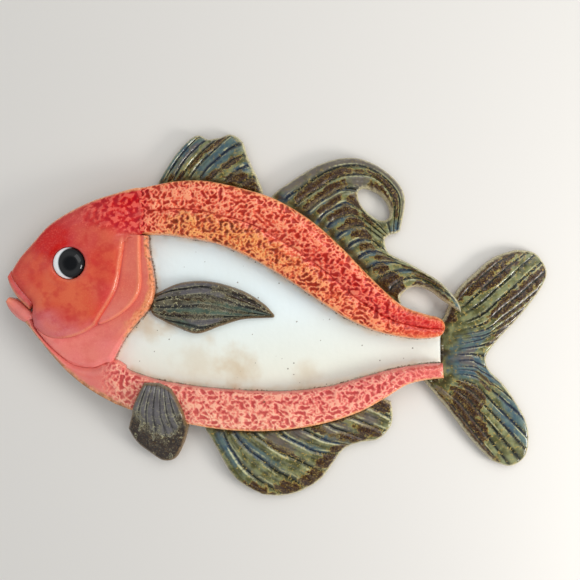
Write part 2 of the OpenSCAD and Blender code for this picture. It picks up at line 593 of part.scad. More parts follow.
module eyeball() {
    radius = eye_d / 2;
    dome_radius = (radius * radius + eye_dome_h * eye_dome_h) / (2 * eye_dome_h);
    color("white") place() translate([eye_at[0], eye_at[1], floor_z + eye_seat_h]) intersection() {
        cylinder(h = eye_h, r = radius, $fn = eye_facets);
        translate([0, 0, eye_h - dome_radius]) sphere(r = dome_radius, $fn = eye_facets);
    }
}

module front_dorsal_fin() {
    color("darkseagreen") place() flat_fin(front_grid, front_fin_ribs);
}

module rear_dorsal_fin() {
    top = ribbed(rear_grid, fin_lift, fin_t, fin_thick_shares, fin_rib_shares, rear_fin_ribs);
    climb = floor_z - fin_lift + rib_relief + fin_gap;
    climb_x = [for (share = strand_climb_shares)
        body_len * rear_fin_at_shares[0] + rear_fin_len * share];
    color("darkslategray") place() difference() {
        draped(
            climbing(top, climb_x[0], climb_x[1], climb),
            climbing(flat(rear_grid, fin_lift), climb_x[0], climb_x[1], climb));
        linear_extrude(height = 2 * floor_z) polygon(loop_hole);
    }
}

module tail_fin() {
    color("cadetblue") place() flat_fin(tail_grid, tail_ribs);
}

module anal_fin() {
    color("darkolivegreen") place() flat_fin(anal_grid, anal_fin_ribs);
}

module pelvic_fin() {
    grid = pelvic_grid;
    places = [for (row = grid) [for (p = row)
        let (inner_y = lookup(p[0], belly_inner), outer_y = lookup(p[0], belly_outer))
        (inner_y - p[1]) / (inner_y - outer_y)]];
    under = [for (r = [0 : len(grid) - 1]) [for (c = [0 : len(grid[r]) - 1])
        [grid[r][c][0], grid[r][c][1], floor_z * lookup(places[r][c], pelvic_under_shares)]]];
    top = [for (r = [0 : len(grid) - 1]) [for (c = [0 : len(grid[r]) - 1])
        let (
            side = at_side(c, pelvic_fin_ribs) ? fin_side_share : 1,
            climb = floor_z + belly_band_h * lookup(places[r][c], pelvic_top_shares),
            rib = rib_relief * (ridge(c) - 1),
            thickness = climb - under[r][c][2] + (pelvic_fin_t + rib) * side)
        under[r][c] + [0, 0, thickness * pelvic_thick_shares[r]]]];
    color("dimgray") place() difference() {
        draped(top, under);
        belly_strip();
    }
}

module pectoral_fin() {
    color("darkolivegreen") place() difference() {
        relief(
            ribbed(pectoral_grid, floor_z, pectoral_fin_t, leaf_thick_shares, leaf_rib_shares,
                pectoral_fin_ribs),
            floor_z);
        translate([0, 0, floor_z - overrun])
            linear_extrude(height = outer_gill_h + 2 * overrun)
            polygon(concat(outer_gill_upper, reversed(outer_gill_lower)));
    }
}

dish_floor();
back_band();
belly_band();
head();
inner_gill_plate();
outer_gill_plate();
upper_lip();
lower_lip();
eyeball();
front_dorsal_fin();
rear_dorsal_fin();
tail_fin();
anal_fin();
pelvic_fin();
pectoral_fin();
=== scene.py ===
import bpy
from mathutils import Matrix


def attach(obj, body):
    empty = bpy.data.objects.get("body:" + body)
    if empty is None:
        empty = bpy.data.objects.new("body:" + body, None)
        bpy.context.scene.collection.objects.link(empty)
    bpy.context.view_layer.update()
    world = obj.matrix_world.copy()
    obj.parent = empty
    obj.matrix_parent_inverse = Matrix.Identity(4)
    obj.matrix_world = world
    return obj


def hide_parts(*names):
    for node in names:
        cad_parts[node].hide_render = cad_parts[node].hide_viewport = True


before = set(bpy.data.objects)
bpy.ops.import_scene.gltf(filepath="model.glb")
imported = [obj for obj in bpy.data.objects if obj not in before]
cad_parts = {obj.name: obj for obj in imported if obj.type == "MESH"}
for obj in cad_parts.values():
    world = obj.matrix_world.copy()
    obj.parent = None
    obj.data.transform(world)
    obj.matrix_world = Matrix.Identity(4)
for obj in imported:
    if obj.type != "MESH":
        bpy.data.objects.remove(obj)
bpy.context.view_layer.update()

import math
from functools import reduce

import bmesh
import bpy
import numpy as np
from mathutils import Vector
from mathutils.kdtree import KDTree

mm = 0.001
floorTop = 7.0  # millimetres over the table, as all lengths below
finUnder = 2.0  # the underside of the fins
lineSteps = 12  # steps from one point of a list to the next on its smooth line
sameSpot = 0.001 * mm  # corners of a mesh closer than this become one
noiseSide, noiseStart = 97, 40  # points along the side of a noise table, and where its middle lies


# Smooth lines, masks and noise

def curveWeights(shares, count):  # how much each of count points adds at each share of their smooth curve
    place = np.clip(shares, 0, 1) * (count - 1)
    first = np.minimum(place.astype(int), count - 2)
    t = place - first
    factors = (2 * t**2 - t - t**3, 2 - 5 * t**2 + 3 * t**3, t + 4 * t**2 - 3 * t**3, t**3 - t**2)
    weights = np.zeros((len(shares), count))
    for step, factor in zip((-1, 0, 1, 2), factors):
        np.add.at(weights, (np.arange(len(shares)), np.clip(first + step, 0, count - 1)), factor / 2)
    return weights


def onLine(line, shares):
    return curveWeights(np.asarray(shares), len(line)) @ np.asarray(line, float)


def smoothLine(points, steps=lineSteps):
    return onLine(points, np.linspace(0, 1, (len(points) - 1) * steps + 1))


def movedAside(line, distance):  # to the right of its direction
    run = np.gradient(line, axis=0)
    run /= np.linalg.norm(run, axis=1)[:, None]
    return line + distance * np.stack([run[:, 1], -run[:, 0]], axis=1)


def lengthened(line, before, after):  # carried on straight at its two ends
    first, last = line[0] - line[1], line[-1] - line[-2]
    return np.concatenate([[line[0] + before * first / np.linalg.norm(first)], line,
                           [line[-1] + after * last / np.linalg.norm(last)]])


def evenly(line, count):  # the same line with its points at equal distances
    walked = np.concatenate([[0], np.cumsum(np.linalg.norm(np.diff(line, axis=0), axis=1))])
    places = np.linspace(0, walked[-1], count)
    return np.stack([np.interp(places, walked, line[:, 0]), np.interp(places, walked, line[:, 1])], axis=1)


def crowded(count, crowd=0.5):  # places from 0 to 1, closer together near both ends
    t = np.linspace(0, 1, count + 1)
    return t - crowd * np.sin(2 * np.pi * t) / (2 * np.pi)


def eased(value, low, high):  # 0 at low, 1 at high and smooth between, whichever of them is larger
    t = np.clip((value - low) / (high - low), 0, 1)
    return t * t * (3 - 2 * t)


def bump(value, centre, width):  # 1 at the centre, falling off smoothly
    return np.exp(-((value - centre) / width) ** 2)


def smoothNoise(x, y, size, seed, corner):  # blended between the corners of squares of one size
    table = np.random.default_rng(seed).random((noiseSide, noiseSide))
    x, y = x / size + noiseStart, y / size + noiseStart
    i, j = np.floor(x).astype(int), np.floor(y).astype(int)
    s, t = x - i, y - j

    def at(a, b):
        return corner(table[(i + a) % noiseSide, (j + b) % noiseSide], s - a, t - b)

    u, v = eased(s, 0, 1), eased(t, 0, 1)
    return (at(0, 0) * (1 - u) + at(1, 0) * u) * (1 - v) + (at(0, 1) * (1 - u) + at(1, 1) * u) * v


def cloud(x, y, size, seed):  # from 0 to 1, with patches about one size across
    return smoothNoise(x, y, size, seed, lambda value, s, t: value)


def uneven(x, y, size, seed):  # the same from -0.5 to 0.5
    return cloud(x, y, size, seed) - 0.5


def waves(x, y, size, seed):  # around 0, with bumps that all have about the same size
    return smoothNoise(x, y, size, seed, lambda value, s, t: (
        np.cos(value * 2 * np.pi) * s + np.sin(value * 2 * np.pi) * t))


def pebbles(x, y, size, seed):  # 0 on a net of thin ridges, 1 in the pits and a half in between
    bumps = np.abs(waves(x / 1.15, y, size, seed) + 0.4 * waves(x, y, 0.5 * size, seed + 1))
    return 0.5 * eased(bumps, 0.03, 0.15) + 0.5 * eased(bumps, 0.19, 0.33)


def smoothed(pattern, share):  # a pattern of pits that fades to smooth glaze as the share falls to 0
    return 0.5 + (pattern - 0.5) * share


def rolledEdge(rim, style):  # its height as a share: edgeShare at the rim and 1 from edgeRadius inwards
    inward = np.clip(1 - rim / style["edgeRadius"], 0, 1)
    return style["edgeShare"] + (1 - style["edgeShare"]) * np.sqrt(1 - inward**2)


# Meshes and pieces

piecesOf = {}  # by slot


def insideLoop(points, loop):
    inside = np.zeros(len(points), bool)
    for a, b in zip(loop, np.roll(loop, -1, axis=0)):
        crosses = (a[1] > points[:, 1]) != (b[1] > points[:, 1])
        rise = b[1] - a[1] if b[1] != a[1] else 1e-9
        inside ^= crosses & (points[:, 0] < (b[0] - a[0]) * (points[:, 1] - a[1]) / rise + a[0])
    return inside


def nearestDistance(x, y, targets):
    tree = KDTree(len(targets))
    for k, target in enumerate(targets):
        tree.insert((target[0], target[1], 0), k)
    tree.balance()
    return np.array([tree.find((px, py, 0))[2] for px, py in zip(x, y)])


def addItem(name, data, place=(0, 0, 0)):
    item = bpy.data.objects.new(name, data)
    item.location = [c * mm for c in place]
    bpy.context.scene.collection.objects.link(item)
    return item


def addPiece(node, mesh, slotName):
    piece = addItem(node + "_glazed", mesh)
    mesh.shade_smooth()
    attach(piece, "root")
    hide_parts(node)
    piecesOf.setdefault(slotName, []).append(piece)


def meshOf(bm, name):
    mesh = bpy.data.meshes.new(name)
    bm.to_mesh(mesh)
    bm.free()
    return mesh


def cutHole(bm, hole):  # the faces inside it go, and the corners beside them move onto its line
    inside = insideLoop(np.array([vert.co[:2] for vert in bm.verts]), hole)
    for vert, hit in zip(bm.verts[:], inside):
        vert.tag = bool(hit)
    gone = [face for face in bm.faces if all(vert.tag for vert in face.verts)]
    for vert in bm.verts:
        if vert.tag and not all(corner.tag for face in vert.link_faces for corner in face.verts):
            near = hole[np.argmin(np.hypot(hole[:, 0] - vert.co.x, hole[:, 1] - vert.co.y))]
            vert.co = (near[0], near[1], 0)
    bmesh.ops.delete(bm, geom=gone, context="FACES")


def makeSheet(flat, across, along, hidden, hole=None):  # a grid laid out flat, extruded to a slab
    rows, columns = flat.shape[:2]
    bm = bmesh.new()
    bmesh.ops.create_grid(bm, x_segments=columns - 1, y_segments=rows - 1, size=0.5)
    acrossLayer, alongLayer, rimLayer, topLayer = [
        bm.verts.layers.float.new(key) for key in ("across", "along", "rim", "top")]
    for vert in bm.verts:
        i, j = round((vert.co.x + 0.5) * (columns - 1)), round((vert.co.y + 0.5) * (rows - 1))
        vert[acrossLayer], vert[alongLayer] = across[i], along[j]
        vert.co = (flat[j, i, 0], flat[j, i, 1], 0)
    if hole is not None:
        cutHole(bm, hole)
    rim = []  # points on the open edge, which is the whole edge but for what other pieces hide
    for edge in bm.edges:
        a, b = edge.verts
        if edge.is_boundary and not all(hidden(vert[acrossLayer], vert[alongLayer]) for vert in (a, b)):
            rim += [a.co.lerp(b.co, share)[:2] for share in (0, 0.25, 0.5, 0.75, 1)]
    x, y = np.array([vert.co[:2] for vert in bm.verts]).T
    for vert, distance in zip(bm.verts, nearestDistance(x, y, rim)):
        vert[rimLayer] = distance
    for item in bmesh.ops.extrude_face_region(bm, geom=bm.faces[:])["geom"]:
        if isinstance(item, bmesh.types.BMVert):
            item.co.z = 1
            item[topLayer] = 1
    bmesh.ops.recalc_face_normals(bm, faces=bm.faces[:])
    return meshOf(bm, "sheet")


def readPlaces(mesh):
    places = np.zeros(len(mesh.vertices) * 3)
    mesh.vertices.foreach_get("co", places)
    return places.reshape(-1, 3)


def readMasks(mesh, *names):
    masks = []
    for name in names:
        values = np.zeros(len(mesh.vertices), np.float32)
        mesh.attributes[name].data.foreach_get("value", values)
        masks.append(values.astype(float))
    return masks


def writeMasks(mesh, masks):
    for name, values in masks.items():
        layer = mesh.attributes.get(name) or mesh.attributes.new(name, "FLOAT", "POINT")
        values = np.broadcast_to(np.clip(values, 0, 1), len(mesh.vertices))
        layer.data.foreach_set("value", values.astype(np.float32))


def writePlaces(mesh, x, y, z):
    mesh.vertices.foreach_set("co", (np.stack([x, y, z], axis=1) * mm).ravel())
    mesh.update()


# Lines of the fish seen from above. The nets of the fins have a list for each rib, from its root out.

def points(numbers):  # pairs of x and y in millimetres, from one row or more of tenths
    return np.reshape(numbers, (*np.shape(numbers)[:-1], -1, 2)) / 10


headTop = points([-1956, 320, -1898, 416, -1801, 528, -1672, 668, -1489, 784, -1270, 876, -990, 938])
backOuter = points([
    -990, 938, -758, 982, -539, 986, -281, 935, -27, 854, 231, 701, 450, 509, 669, 283, 888, 86, 1071, 13,
    1158, -9, 1203, -39, 1219, -83])
backInner = points([
    -990, 590, -829, 585, -648, 561, -442, 517, -223, 425, 12, 291, 244, 138, 485, -20, 727, -123, 962,
    -169, 1107, -169, 1181, -151, 1210, -120])
bellyOuter = points([
    -1866, -43, -1817, -98, -1743, -192, -1656, -298, -1540, -422, -1402, -532, -1254, -620, -1093, -690,
    -867, -753, -648, -801, -391, -839, -136, -850, 121, -832, 376, -782, 595, -707, 778, -609, 926, -517,
    1071, -477, 1210, -462])
bellyInner = points([
    -1795, -9, -1772, -90, -1692, -203, -1598, -291, -1495, -361, -1350, -381, -1218, -339, -1086, -411,
    -880, -477, -648, -517, -391, -543, -136, -558, 121, -554, 363, -525, 582, -466, 772, -414, 917, -381,
    1065, -359, 1203, -352])
gillFront = points([
    -1109, 583, -1115, 487, -1131, 386, -1147, 274, -1176, 173, -1218, 90, -1270, 7, -1321, -76])
gillRear = points([
    -999, 583, -999, 473, -996, 357, -993, 232, -1022, 134, -1096, 46, -1196, -24, -1321, -76])
chinLine = points([-1321, -76, -1408, -131, -1518, -169, -1621, -177, -1708, -147, -1772, -90])
coverLine = points([
    -954, 583, -945, 458, -916, 313, -906, 180, -941, 64, -1028, -43, -1128, -171, -1218, -339])
lipOuter = points([-1975, 276, -1956, 210, -1923, 153, -1875, 97, -1817, 42])
lipInner = points([-1956, 320, -1920, 250, -1878, 193, -1830, 138, -1782, 79])
jawOuter = points([-2000, 101, -1985, 57, -1956, 16, -1914, -17, -1866, -43])
jawInner = points([-1978, 134, -1934, 122, -1886, 96, -1836, 56, -1786, 8])
tailRoot = points([1208, -24, 1208, -116, 1205, -236, 1203, -352, 1205, -447, 1148, -473, 1084, -479])
frontFin = points([
    [-834, 1102, -760, 1209, -685, 1291, -633, 1333],
    [-789, 1095, -718, 1199, -645, 1281, -584, 1340],
    [-737, 1090, -663, 1191, -591, 1266, -529, 1311],
    [-678, 1090, -591, 1193, -511, 1267, -439, 1324],
    [-611, 1087, -521, 1187, -436, 1267, -356, 1348],
    [-541, 1077, -454, 1163, -368, 1232, -273, 1294],
    [-462, 1059, -380, 1127, -305, 1174, -238, 1196],
    [-372, 1025, -305, 1068, -253, 1095, -201, 1110],
    [-276, 975, -231, 999, -194, 1014, -159, 1023],
    [-118, 908, -119, 919, -121, 929, -122, 940]])
rearFin = points([
    [46, 969, 317, 1130, 575, 1171, 803, 1067, 938, 889, 905, 624],
    [134, 906, 369, 1056, 582, 1096, 758, 1021, 883, 860, 869, 607],
    [229, 854, 428, 987, 589, 1015, 722, 969, 835, 826, 839, 601],
    [317, 780, 464, 872, 567, 854, 656, 768, 751, 688, 820, 593],
    [398, 711, 516, 762, 597, 734, 666, 688, 732, 636, 803, 578],
    [479, 619, 567, 653, 636, 653, 688, 624, 739, 587, 791, 550],
    [575, 527, 644, 547, 697, 538, 732, 512, 766, 486, 825, 460],
    [670, 423, 744, 438, 806, 423, 860, 403, 914, 384, 979, 381],
    [758, 331, 835, 354, 916, 360, 997, 339, 1079, 306, 1167, 266],
    [832, 239, 908, 279, 997, 291, 1101, 259, 1204, 193, 1314, 107],
    [905, 130, 953, 187, 1026, 210, 1123, 181, 1219, 100, 1344, 18]])
tailFin = points([
    [1328, 180, 1469, 320, 1609, 432, 1773, 488],
    [1469, 74, 1609, 195, 1758, 326, 1912, 462],
    [1497, -71, 1646, 46, 1823, 190, 1996, 342],
    [1516, -112, 1655, -19, 1823, 108, 1978, 238],
    [1506, -153, 1627, -84, 1767, 13, 1897, 115],
    [1478, -186, 1572, -145, 1674, -97, 1773, -36],
    [1441, -237, 1506, -224, 1572, -205, 1639, -181],
    [1404, -289, 1451, -294, 1497, -300, 1549, -306],
    [1413, -333, 1464, -354, 1516, -378, 1568, -406],
    [1432, -382, 1506, -419, 1590, -468, 1683, -527],
    [1432, -410, 1538, -479, 1655, -564, 1773, -659],
    [1441, -451, 1568, -549, 1702, -661, 1842, -786],
    [1432, -507, 1572, -637, 1717, -777, 1864, -922],
    [1395, -574, 1538, -726, 1683, -887, 1836, -1058],
    [1326, -637, 1460, -801, 1590, -961, 1728, -1129],
    [1259, -704, 1382, -866, 1488, -991, 1592, -1091]])
analFin = points([
    [-486, -955, -332, -1212, -124, -1342],
    [-376, -982, -208, -1189, 33, -1348],
    [-259, -990, -70, -1144, 179, -1308],
    [-121, -967, 76, -1085, 319, -1219],
    [18, -931, 208, -1026, 412, -1094],
    [157, -896, 325, -967, 495, -994],
    [295, -856, 452, -923, 614, -950],
    [437, -805, 587, -864, 739, -928],
    [558, -745, 697, -799, 828, -843],
    [675, -674, 763, -710, 850, -747],
    [748, -599, 799, -631, 836, -644]])
pelvicFin = points([
    [-974, -484, -1039, -623, -1082, -747, -1115, -838],
    [-938, -484, -987, -652, -1019, -803, -1055, -941],
    [-902, -487, -933, -679, -949, -847, -960, -1018],
    [-866, -490, -872, -694, -866, -885, -857, -1080],
    [-836, -502, -814, -694, -785, -876, -764, -1059],
    [-807, -514, -764, -673, -719, -847, -698, -938],
    [-778, -528, -726, -608, -683, -708, -662, -817]])
pectoralFin = points([
    [-894, 167, -733, 239, -517, 251, -283, 188, -121, 93, -43, 13],
    [-940, 122, -720, 188, -503, 192, -296, 137, -149, 63, -34, 3],
    [-954, 87, -720, 130, -517, 126, -324, 79, -177, 36, -34, -2],
    [-954, 57, -720, 63, -531, 57, -356, 28, -195, 9, -34, -6],
    [-945, 28, -733, -1, -554, -17, -384, -17, -209, -9, -34, -11],
    [-931, 7, -756, -46, -582, -81, -411, -53, -237, -23, -36, -15],
    [-904, -17, -756, -89, -605, -137, -430, -81, -260, -30, -48, -19]])
loopHole = points([
    588, 904, 622, 941, 688, 929, 754, 892, 806, 829, 828, 764, 810, 715, 747, 708, 666, 760, 607, 829])


# The red parts of the body: strips between two lines, and the head.
# u and v are the shares across and along a strip, rim is the distance to its open edge.

def stripNet(inner, outer, across, along):
    a, b = onLine(inner, along), onLine(outer, along)
    return a[:, None] + (b - a)[:, None] * across[None, :, None]


sectionPlaces = np.linspace(-0.1, 1.1, 481)  # from a little before a strip's inner edge, 0, to beyond 1


def section(points, shares, reach=9):  # a rounded curve through the points of a section
    heights = np.interp(sectionPlaces, *zip(*points))
    kernel = np.hanning(2 * reach + 1)
    heights = np.convolve(np.pad(heights, reach, mode="edge"), kernel / kernel.sum(), mode="valid")
    return np.interp(shares, sectionPlaces, heights)


def makeStrip(node, style, paint, inner, outer, hidden):
    columns, rows = style["counts"]
    across, along = crowded(columns), np.linspace(0, 1, rows + 1)
    mesh = makeSheet(stripNet(inner, outer, across, along), across, along, hidden)
    x, y, top = readPlaces(mesh).T
    u, v, rim = readMasks(mesh, "across", "along", "rim")
    crest = np.minimum(section(style["section"], u), rolledEdge(rim, style))
    relief, masks = paint(x, y, u, v, rim)
    masks = dict(pit=0.5, deep=0, dark=0) | masks
    masks["dark"] = np.maximum(masks["dark"], masks.pop("foot", 0) * (1 - 0.75 * top))
    writeMasks(mesh, masks)
    writePlaces(mesh, x, y, floorTop + top * np.maximum(style["height"] * crest + relief, 1))
    addPiece(node, mesh, style["slot"])


def footLine(x, y, u, rim, crumble, seed):  # dark glaze here and there along the inner foot of a band
    return eased(rim + 0.8 * crumble, 0.6, 0.2) * eased(u, 0.4, 0.2) * eased(cloud(x, y, 4, seed), 0.3, 0.6)


backStyle = dict(
    slot="back_glaze", counts=(84, 520), height=14.2, edgeRadius=4.2, edgeShare=0.32, pebble=3.5,
    pitDepth=0.8, grooveAt=0.475, grooveWidth=0.016, grooveDepth=1.1,
    section=[(0, 0.78), (0.09, 0.85), (0.2, 0.9), (0.33, 0.91), (0.43, 0.86), (0.475, 0.82), (0.53, 0.87),
             (0.66, 0.98), (0.8, 0.97), (0.9, 0.9), (1, 0.8)])


def paintBack(x, y, u, v, rim):
    tip, crumble = eased(x, 66, 106), uneven(x, y, 1.7, 16)
    pit = smoothed(pebbles(x, y, backStyle["pebble"], 11), eased(rim, 0, 1.4) * (1 - 0.62 * tip))
    groove = bump(u, backStyle["grooveAt"] + 0.02 * uneven(x, y, 14, 12), backStyle["grooveWidth"])
    groove *= eased(v, 0, 0.05) * eased(v, 0.95, 0.85)
    relief = 0.3 * uneven(x, y, 9, 14) - backStyle["pitDepth"] * pit - backStyle["grooveDepth"] * groove
    warm = eased(0.47 - u + 0.2 * uneven(x, y, 5, 15), -0.03, 0.15) * eased(v, 0.03, 0.14)
    warm *= (1 - 0.68 * eased(v, 0.28, 0.6)) * (1 - 0.6 * tip)
    warm = np.maximum(warm, 0.6 * eased(rim, 5, 2) * eased(v, 0.02, 0.08))
    seam = eased(v + 0.03 * uneven(x, y, 3, 18), 0.045, 0.01)
    deep = np.maximum(eased(v, 0.3, 0.65) * bump(u, 0.62, 0.34 + 0.16 * tip), seam)
    fleck = eased(cloud(x, y, 1.5, 19), 0.74, 0.84) * warm * eased(v, 0.75, 0.5)
    return relief, dict(
        pit=np.maximum(pit, groove), warm=warm, deep=deep, glow=eased(rim + 1.4 * crumble, 2.2, 0.4),
        dark=0.5 * fleck, foot=footLine(x, y, u, rim, crumble, 17))


bellyStyle = dict(
    slot="belly_glaze", counts=(60, 560), height=12.7, edgeRadius=4.2, edgeShare=0.3,
    pebble=3.6, pitDepth=0.6, freeFrom=0.325,  # where along it the inner edge comes out from under the gill
    section=[(0, 0.76), (0.1, 0.87), (0.25, 0.96), (0.5, 1), (0.75, 0.95), (0.9, 0.86), (1, 0.72)])
throatX = -113.0  # left of it the belly band runs under the outer gill plate


def paintBelly(x, y, u, v, rim):
    smooth, crumble = eased(x, -112, -138), uneven(x, y, 1.7, 26)
    rough = (1 - smooth) * eased(rim, 0, 1.5) * (1 - 0.55 * eased(v, 0.78, 0.95))
    pit = smoothed(pebbles(x, y, bellyStyle["pebble"], 21), rough)
    tucked = eased(x, throatX + 3, throatX - 5) * eased(u, 0.45, 0)
    relief = 0.3 * uneven(x, y, 9, 24) - bellyStyle["pitDepth"] * pit - 2.6 * tucked
    reach = 3.2 + 2.6 * eased(x, -95, -125)
    glow = eased(rim + 1.6 * crumble, reach, 0.3 * reach) * eased(u, 0.3, 0.6)
    amber = glow * eased(x, -95, -112) * (0.35 + 0.65 * eased(cloud(x, y, 2.2, 28), 0.2, 0.7))
    return relief, dict(
        pit=pit, warm=smooth, deep=0.6 * eased(u, 0.85, 0.2) + eased(v, 0.6, 0.9), glow=glow,
        dark=0.6 * amber, foot=footLine(x, y, u, rim, crumble, 27) * eased(x, throatX, throatX + 8))


innerGillStyle = dict(
    slot="gill_glaze", counts=(24, 110), height=13.2, edgeRadius=2.4, edgeShare=0.62,
    section=[(0, 0.93), (0.25, 0.94), (0.7, 1), (0.88, 1.02), (1, 0.92)])


def paintInnerGill(x, y, u, v, rim):
    # lip: the raised rear edge, lighter where the glaze thins and as a painted highlight; deep: a darker
    # line in the crease under the head's edge, pooled glaze and painted shade
    lip = bump(u, 0.9, 0.09)
    return 0.35 * lip + 0.2 * uneven(x, y, 10, 31), dict(
        warm=0.3 + 0.4 * eased(y, 20, 0), deep=bump(u, 0.04, 0.09), glow=0.4 * lip)


outerGillStyle = dict(
    slot="gill_glaze", counts=(36, 220), height=11.4, edgeRadius=2.6, edgeShare=0.62,
    section=[(0, 0.92), (0.2, 0.94), (0.6, 1), (0.85, 0.97), (1, 0.82)], pebble=2.3, pitDepth=0.4)


def paintOuterGill(x, y, u, v, rim):
    upper, chin, crumble = eased(y, -20, 6), eased(v, 0.64, 0.92), uneven(x, y, 1.5, 42)
    band = eased(u + 0.25 * uneven(x, y, 4, 45), 0.45, 0.75) * upper
    pit = smoothed(pebbles(x, y, outerGillStyle["pebble"], 41), band * eased(rim, 0.2, 1.2))
    outside = eased(u, 0.6, 0.8) * eased(x, throatX - 3, throatX + 3)
    edge = 0.8 * eased(rim + 1.4 * crumble, 2.8, 0.7) * outside
    foot = eased(rim + crumble, 0.8, 0.2) * outside * eased(cloud(x, y, 3.5, 43), 0.3, 0.5)
    fleck = eased(cloud(x, y, 1.3, 46), 0.55, 0.8) * np.maximum(band, edge) * eased(rim, 4, 1)
    relief = 0.2 * uneven(x, y, 10, 44) - outerGillStyle["pitDepth"] * pit + 3 * chin * bump(u, 0, 0.5)
    # deep: a darker line in the crease under the inner plate's edge, pooled glaze and painted shade
    return relief, dict(
        pit=pit, warm=1 - 0.6 * upper, deep=bump(u, 0.02, 0.07) * (1 - chin),
        glow=np.maximum(0.75 * band, edge), dark=0.75 * fleck, foot=foot)


lipStyle = dict(
    slot="head_glaze", counts=(14, 60), height=13.4, edgeRadius=2.0, edgeShare=0.55,
    section=[(0, 0.6), (0.25, 0.9), (0.5, 1), (0.8, 0.98), (1, 0.92)])


def paintLip(x, y, u, v, rim):
    # warm: the whole lip painted lighter and pinker to lift the shade on its tilted slope, painted light;
    # glow: a pale line along the rolled edge, thin glaze and painted highlight; deep: a darker line in the
    # crease under the head, pooled glaze and painted shade
    return 0.15 * uneven(x, y, 5, 51), dict(
        warm=0.6 + 0.2 * v, deep=0.5 * bump(u, 0.95, 0.07), glow=0.8 * bump(u, 0.1, 0.25))


jawStyle = dict(
    slot="gill_glaze", counts=(14, 50), height=9.8, edgeRadius=2.0, edgeShare=0.4,
    section=[(0, 0.55), (0.25, 0.9), (0.5, 1), (0.8, 0.9), (1, 0.7)])


def paintJaw(x, y, u, v, rim):
    relief = 0.15 * uneven(x, y, 5, 52) + 3.4 * eased(v, 0.45, 0.95)
    return relief, dict(warm=1, glow=0.6 * bump(v, 0, 0.25))


headStyle = dict(slot="head_glaze", voxel=0.8, smoothing=6, pitDepth=0.45, blend=27)
eyeStyle = dict(
    slot="eye_glaze", at=(-150.5, 37.9), radius=11.3, base=13.0, side=22.6, top=27.9,
    turns=96, rings=26)


def softenedHead():
    bm = bmesh.new()
    bm.from_mesh(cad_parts["head"].data)
    bmesh.ops.remove_doubles(bm, verts=bm.verts[:], dist=sameSpot)
    holder = addItem("head_source", meshOf(bm, "head_source"))
    remesh = holder.modifiers.new("remesh", "REMESH")
    remesh.mode, remesh.voxel_size = "VOXEL", headStyle["voxel"] * mm
    holder.modifiers.new("smooth", "SMOOTH").iterations = headStyle["smoothing"]
    mesh = bpy.data.meshes.new_from_object(holder.evaluated_get(bpy.context.evaluated_depsgraph_get()))
    bpy.data.objects.remove(holder)
    return mesh


def makeHead():
    mesh = softenedHead()
    x, y, z = readPlaces(mesh).T / mm
    top, cheek, chin = [smoothLine(line, 2 * lineSteps) for line in (headTop, gillFront, chinLine)]
    brow, gill = nearestDistance(x, y, top), nearestDistance(x, y, np.concatenate([cheek, chin]))
    eye = np.hypot(x - eyeStyle["at"][0], y - eyeStyle["at"][1])
    upper, below = eased(z, floorTop + 1.5, floorTop + 5), eased(y, 62, 50)
    nape = eased(y + 0.12 * (x + 100) + 5 * cloud(x, y, 7, 66), 56, 66)
    nape *= eased(x + 0.35 * (y - 62), -154, -120)
    blots = eased(waves(x, y, 3.4, 61) + 0.5 * waves(x, y, 1.7, 62), -0.3, 0.34)
    pit = smoothed(blots, nape * eased(brow, 0.5, 3))
    relief = 0.5 * uneven(x, y, 24, 63) + 0.35 * bump(eye, 15.5, 3.2)
    relief -= headStyle["pitDepth"] * (pit - 0.5 * (1 - nape))
    relief += (0.5 * bump(gill, 2.2, 1.4) - 1.3 * bump(gill, 0, 3.5)) * below
    z = z + relief * upper

    # towards the back band the top takes on the band's own section
    (seamX, seamLow), seamHigh = backInner[0], backOuter[0][1]
    place = (y - seamLow) / (seamHigh - seamLow)
    edge = rolledEdge(np.maximum(seamHigh - y, 0), backStyle)
    bandTop = floorTop + backStyle["height"] * np.minimum(section(backStyle["section"], place), edge)
    bandTop -= headStyle["pitDepth"] * pit + 0.1
    near = eased(x, seamX - headStyle["blend"], seamX - 1) * eased(place, -0.2, 0.04)
    z = z + (bandTop - z) * near * upper

    # ledge: the head's step edge over the gill plates, lighter where the glaze thins over it and as a
    # painted highlight on that lit edge
    ledge = 0.35 * bump(gill, 1.9, 1) * below * (1 - eased(x, -150, -172) * eased(y, 5, -5))
    glow = np.maximum(eased(brow + 1.3 * uneven(x, y, 1.6, 64), 3.4, 0.9), ledge)
    low = eased(11.3 - 0.31 * (x + 182) - y + 9 * uneven(x, y, 11, 69), -3, 13)
    wash = 14 * uneven(x, y, 13, 67)
    flush = np.maximum(0.95 * eased(np.hypot(x + 160, (y - 56) * 1.2) + wash, 34, 10),
                       0.8 * eased(np.hypot(x + 130, y - 8) + wash, 22, 8))
    orange = 0.8 * eased(np.hypot((x + 148) * 0.8, (y - 16) * 1.2) + 22 * uneven(x, y, 9, 68), 30, 8)
    writeMasks(mesh, dict(
        pit=pit, warm=low + 0.25 * eased(cloud(x, y, 18, 65), 0.5, 0.9), deep=np.maximum(nape, flush),
        orange=orange * (1 - low), glow=glow, dark=0, top=eased(z, floorTop + 0.2, floorTop + 0.6)))
    writePlaces(mesh, x, y, z)
    addPiece("head", mesh, headStyle["slot"])


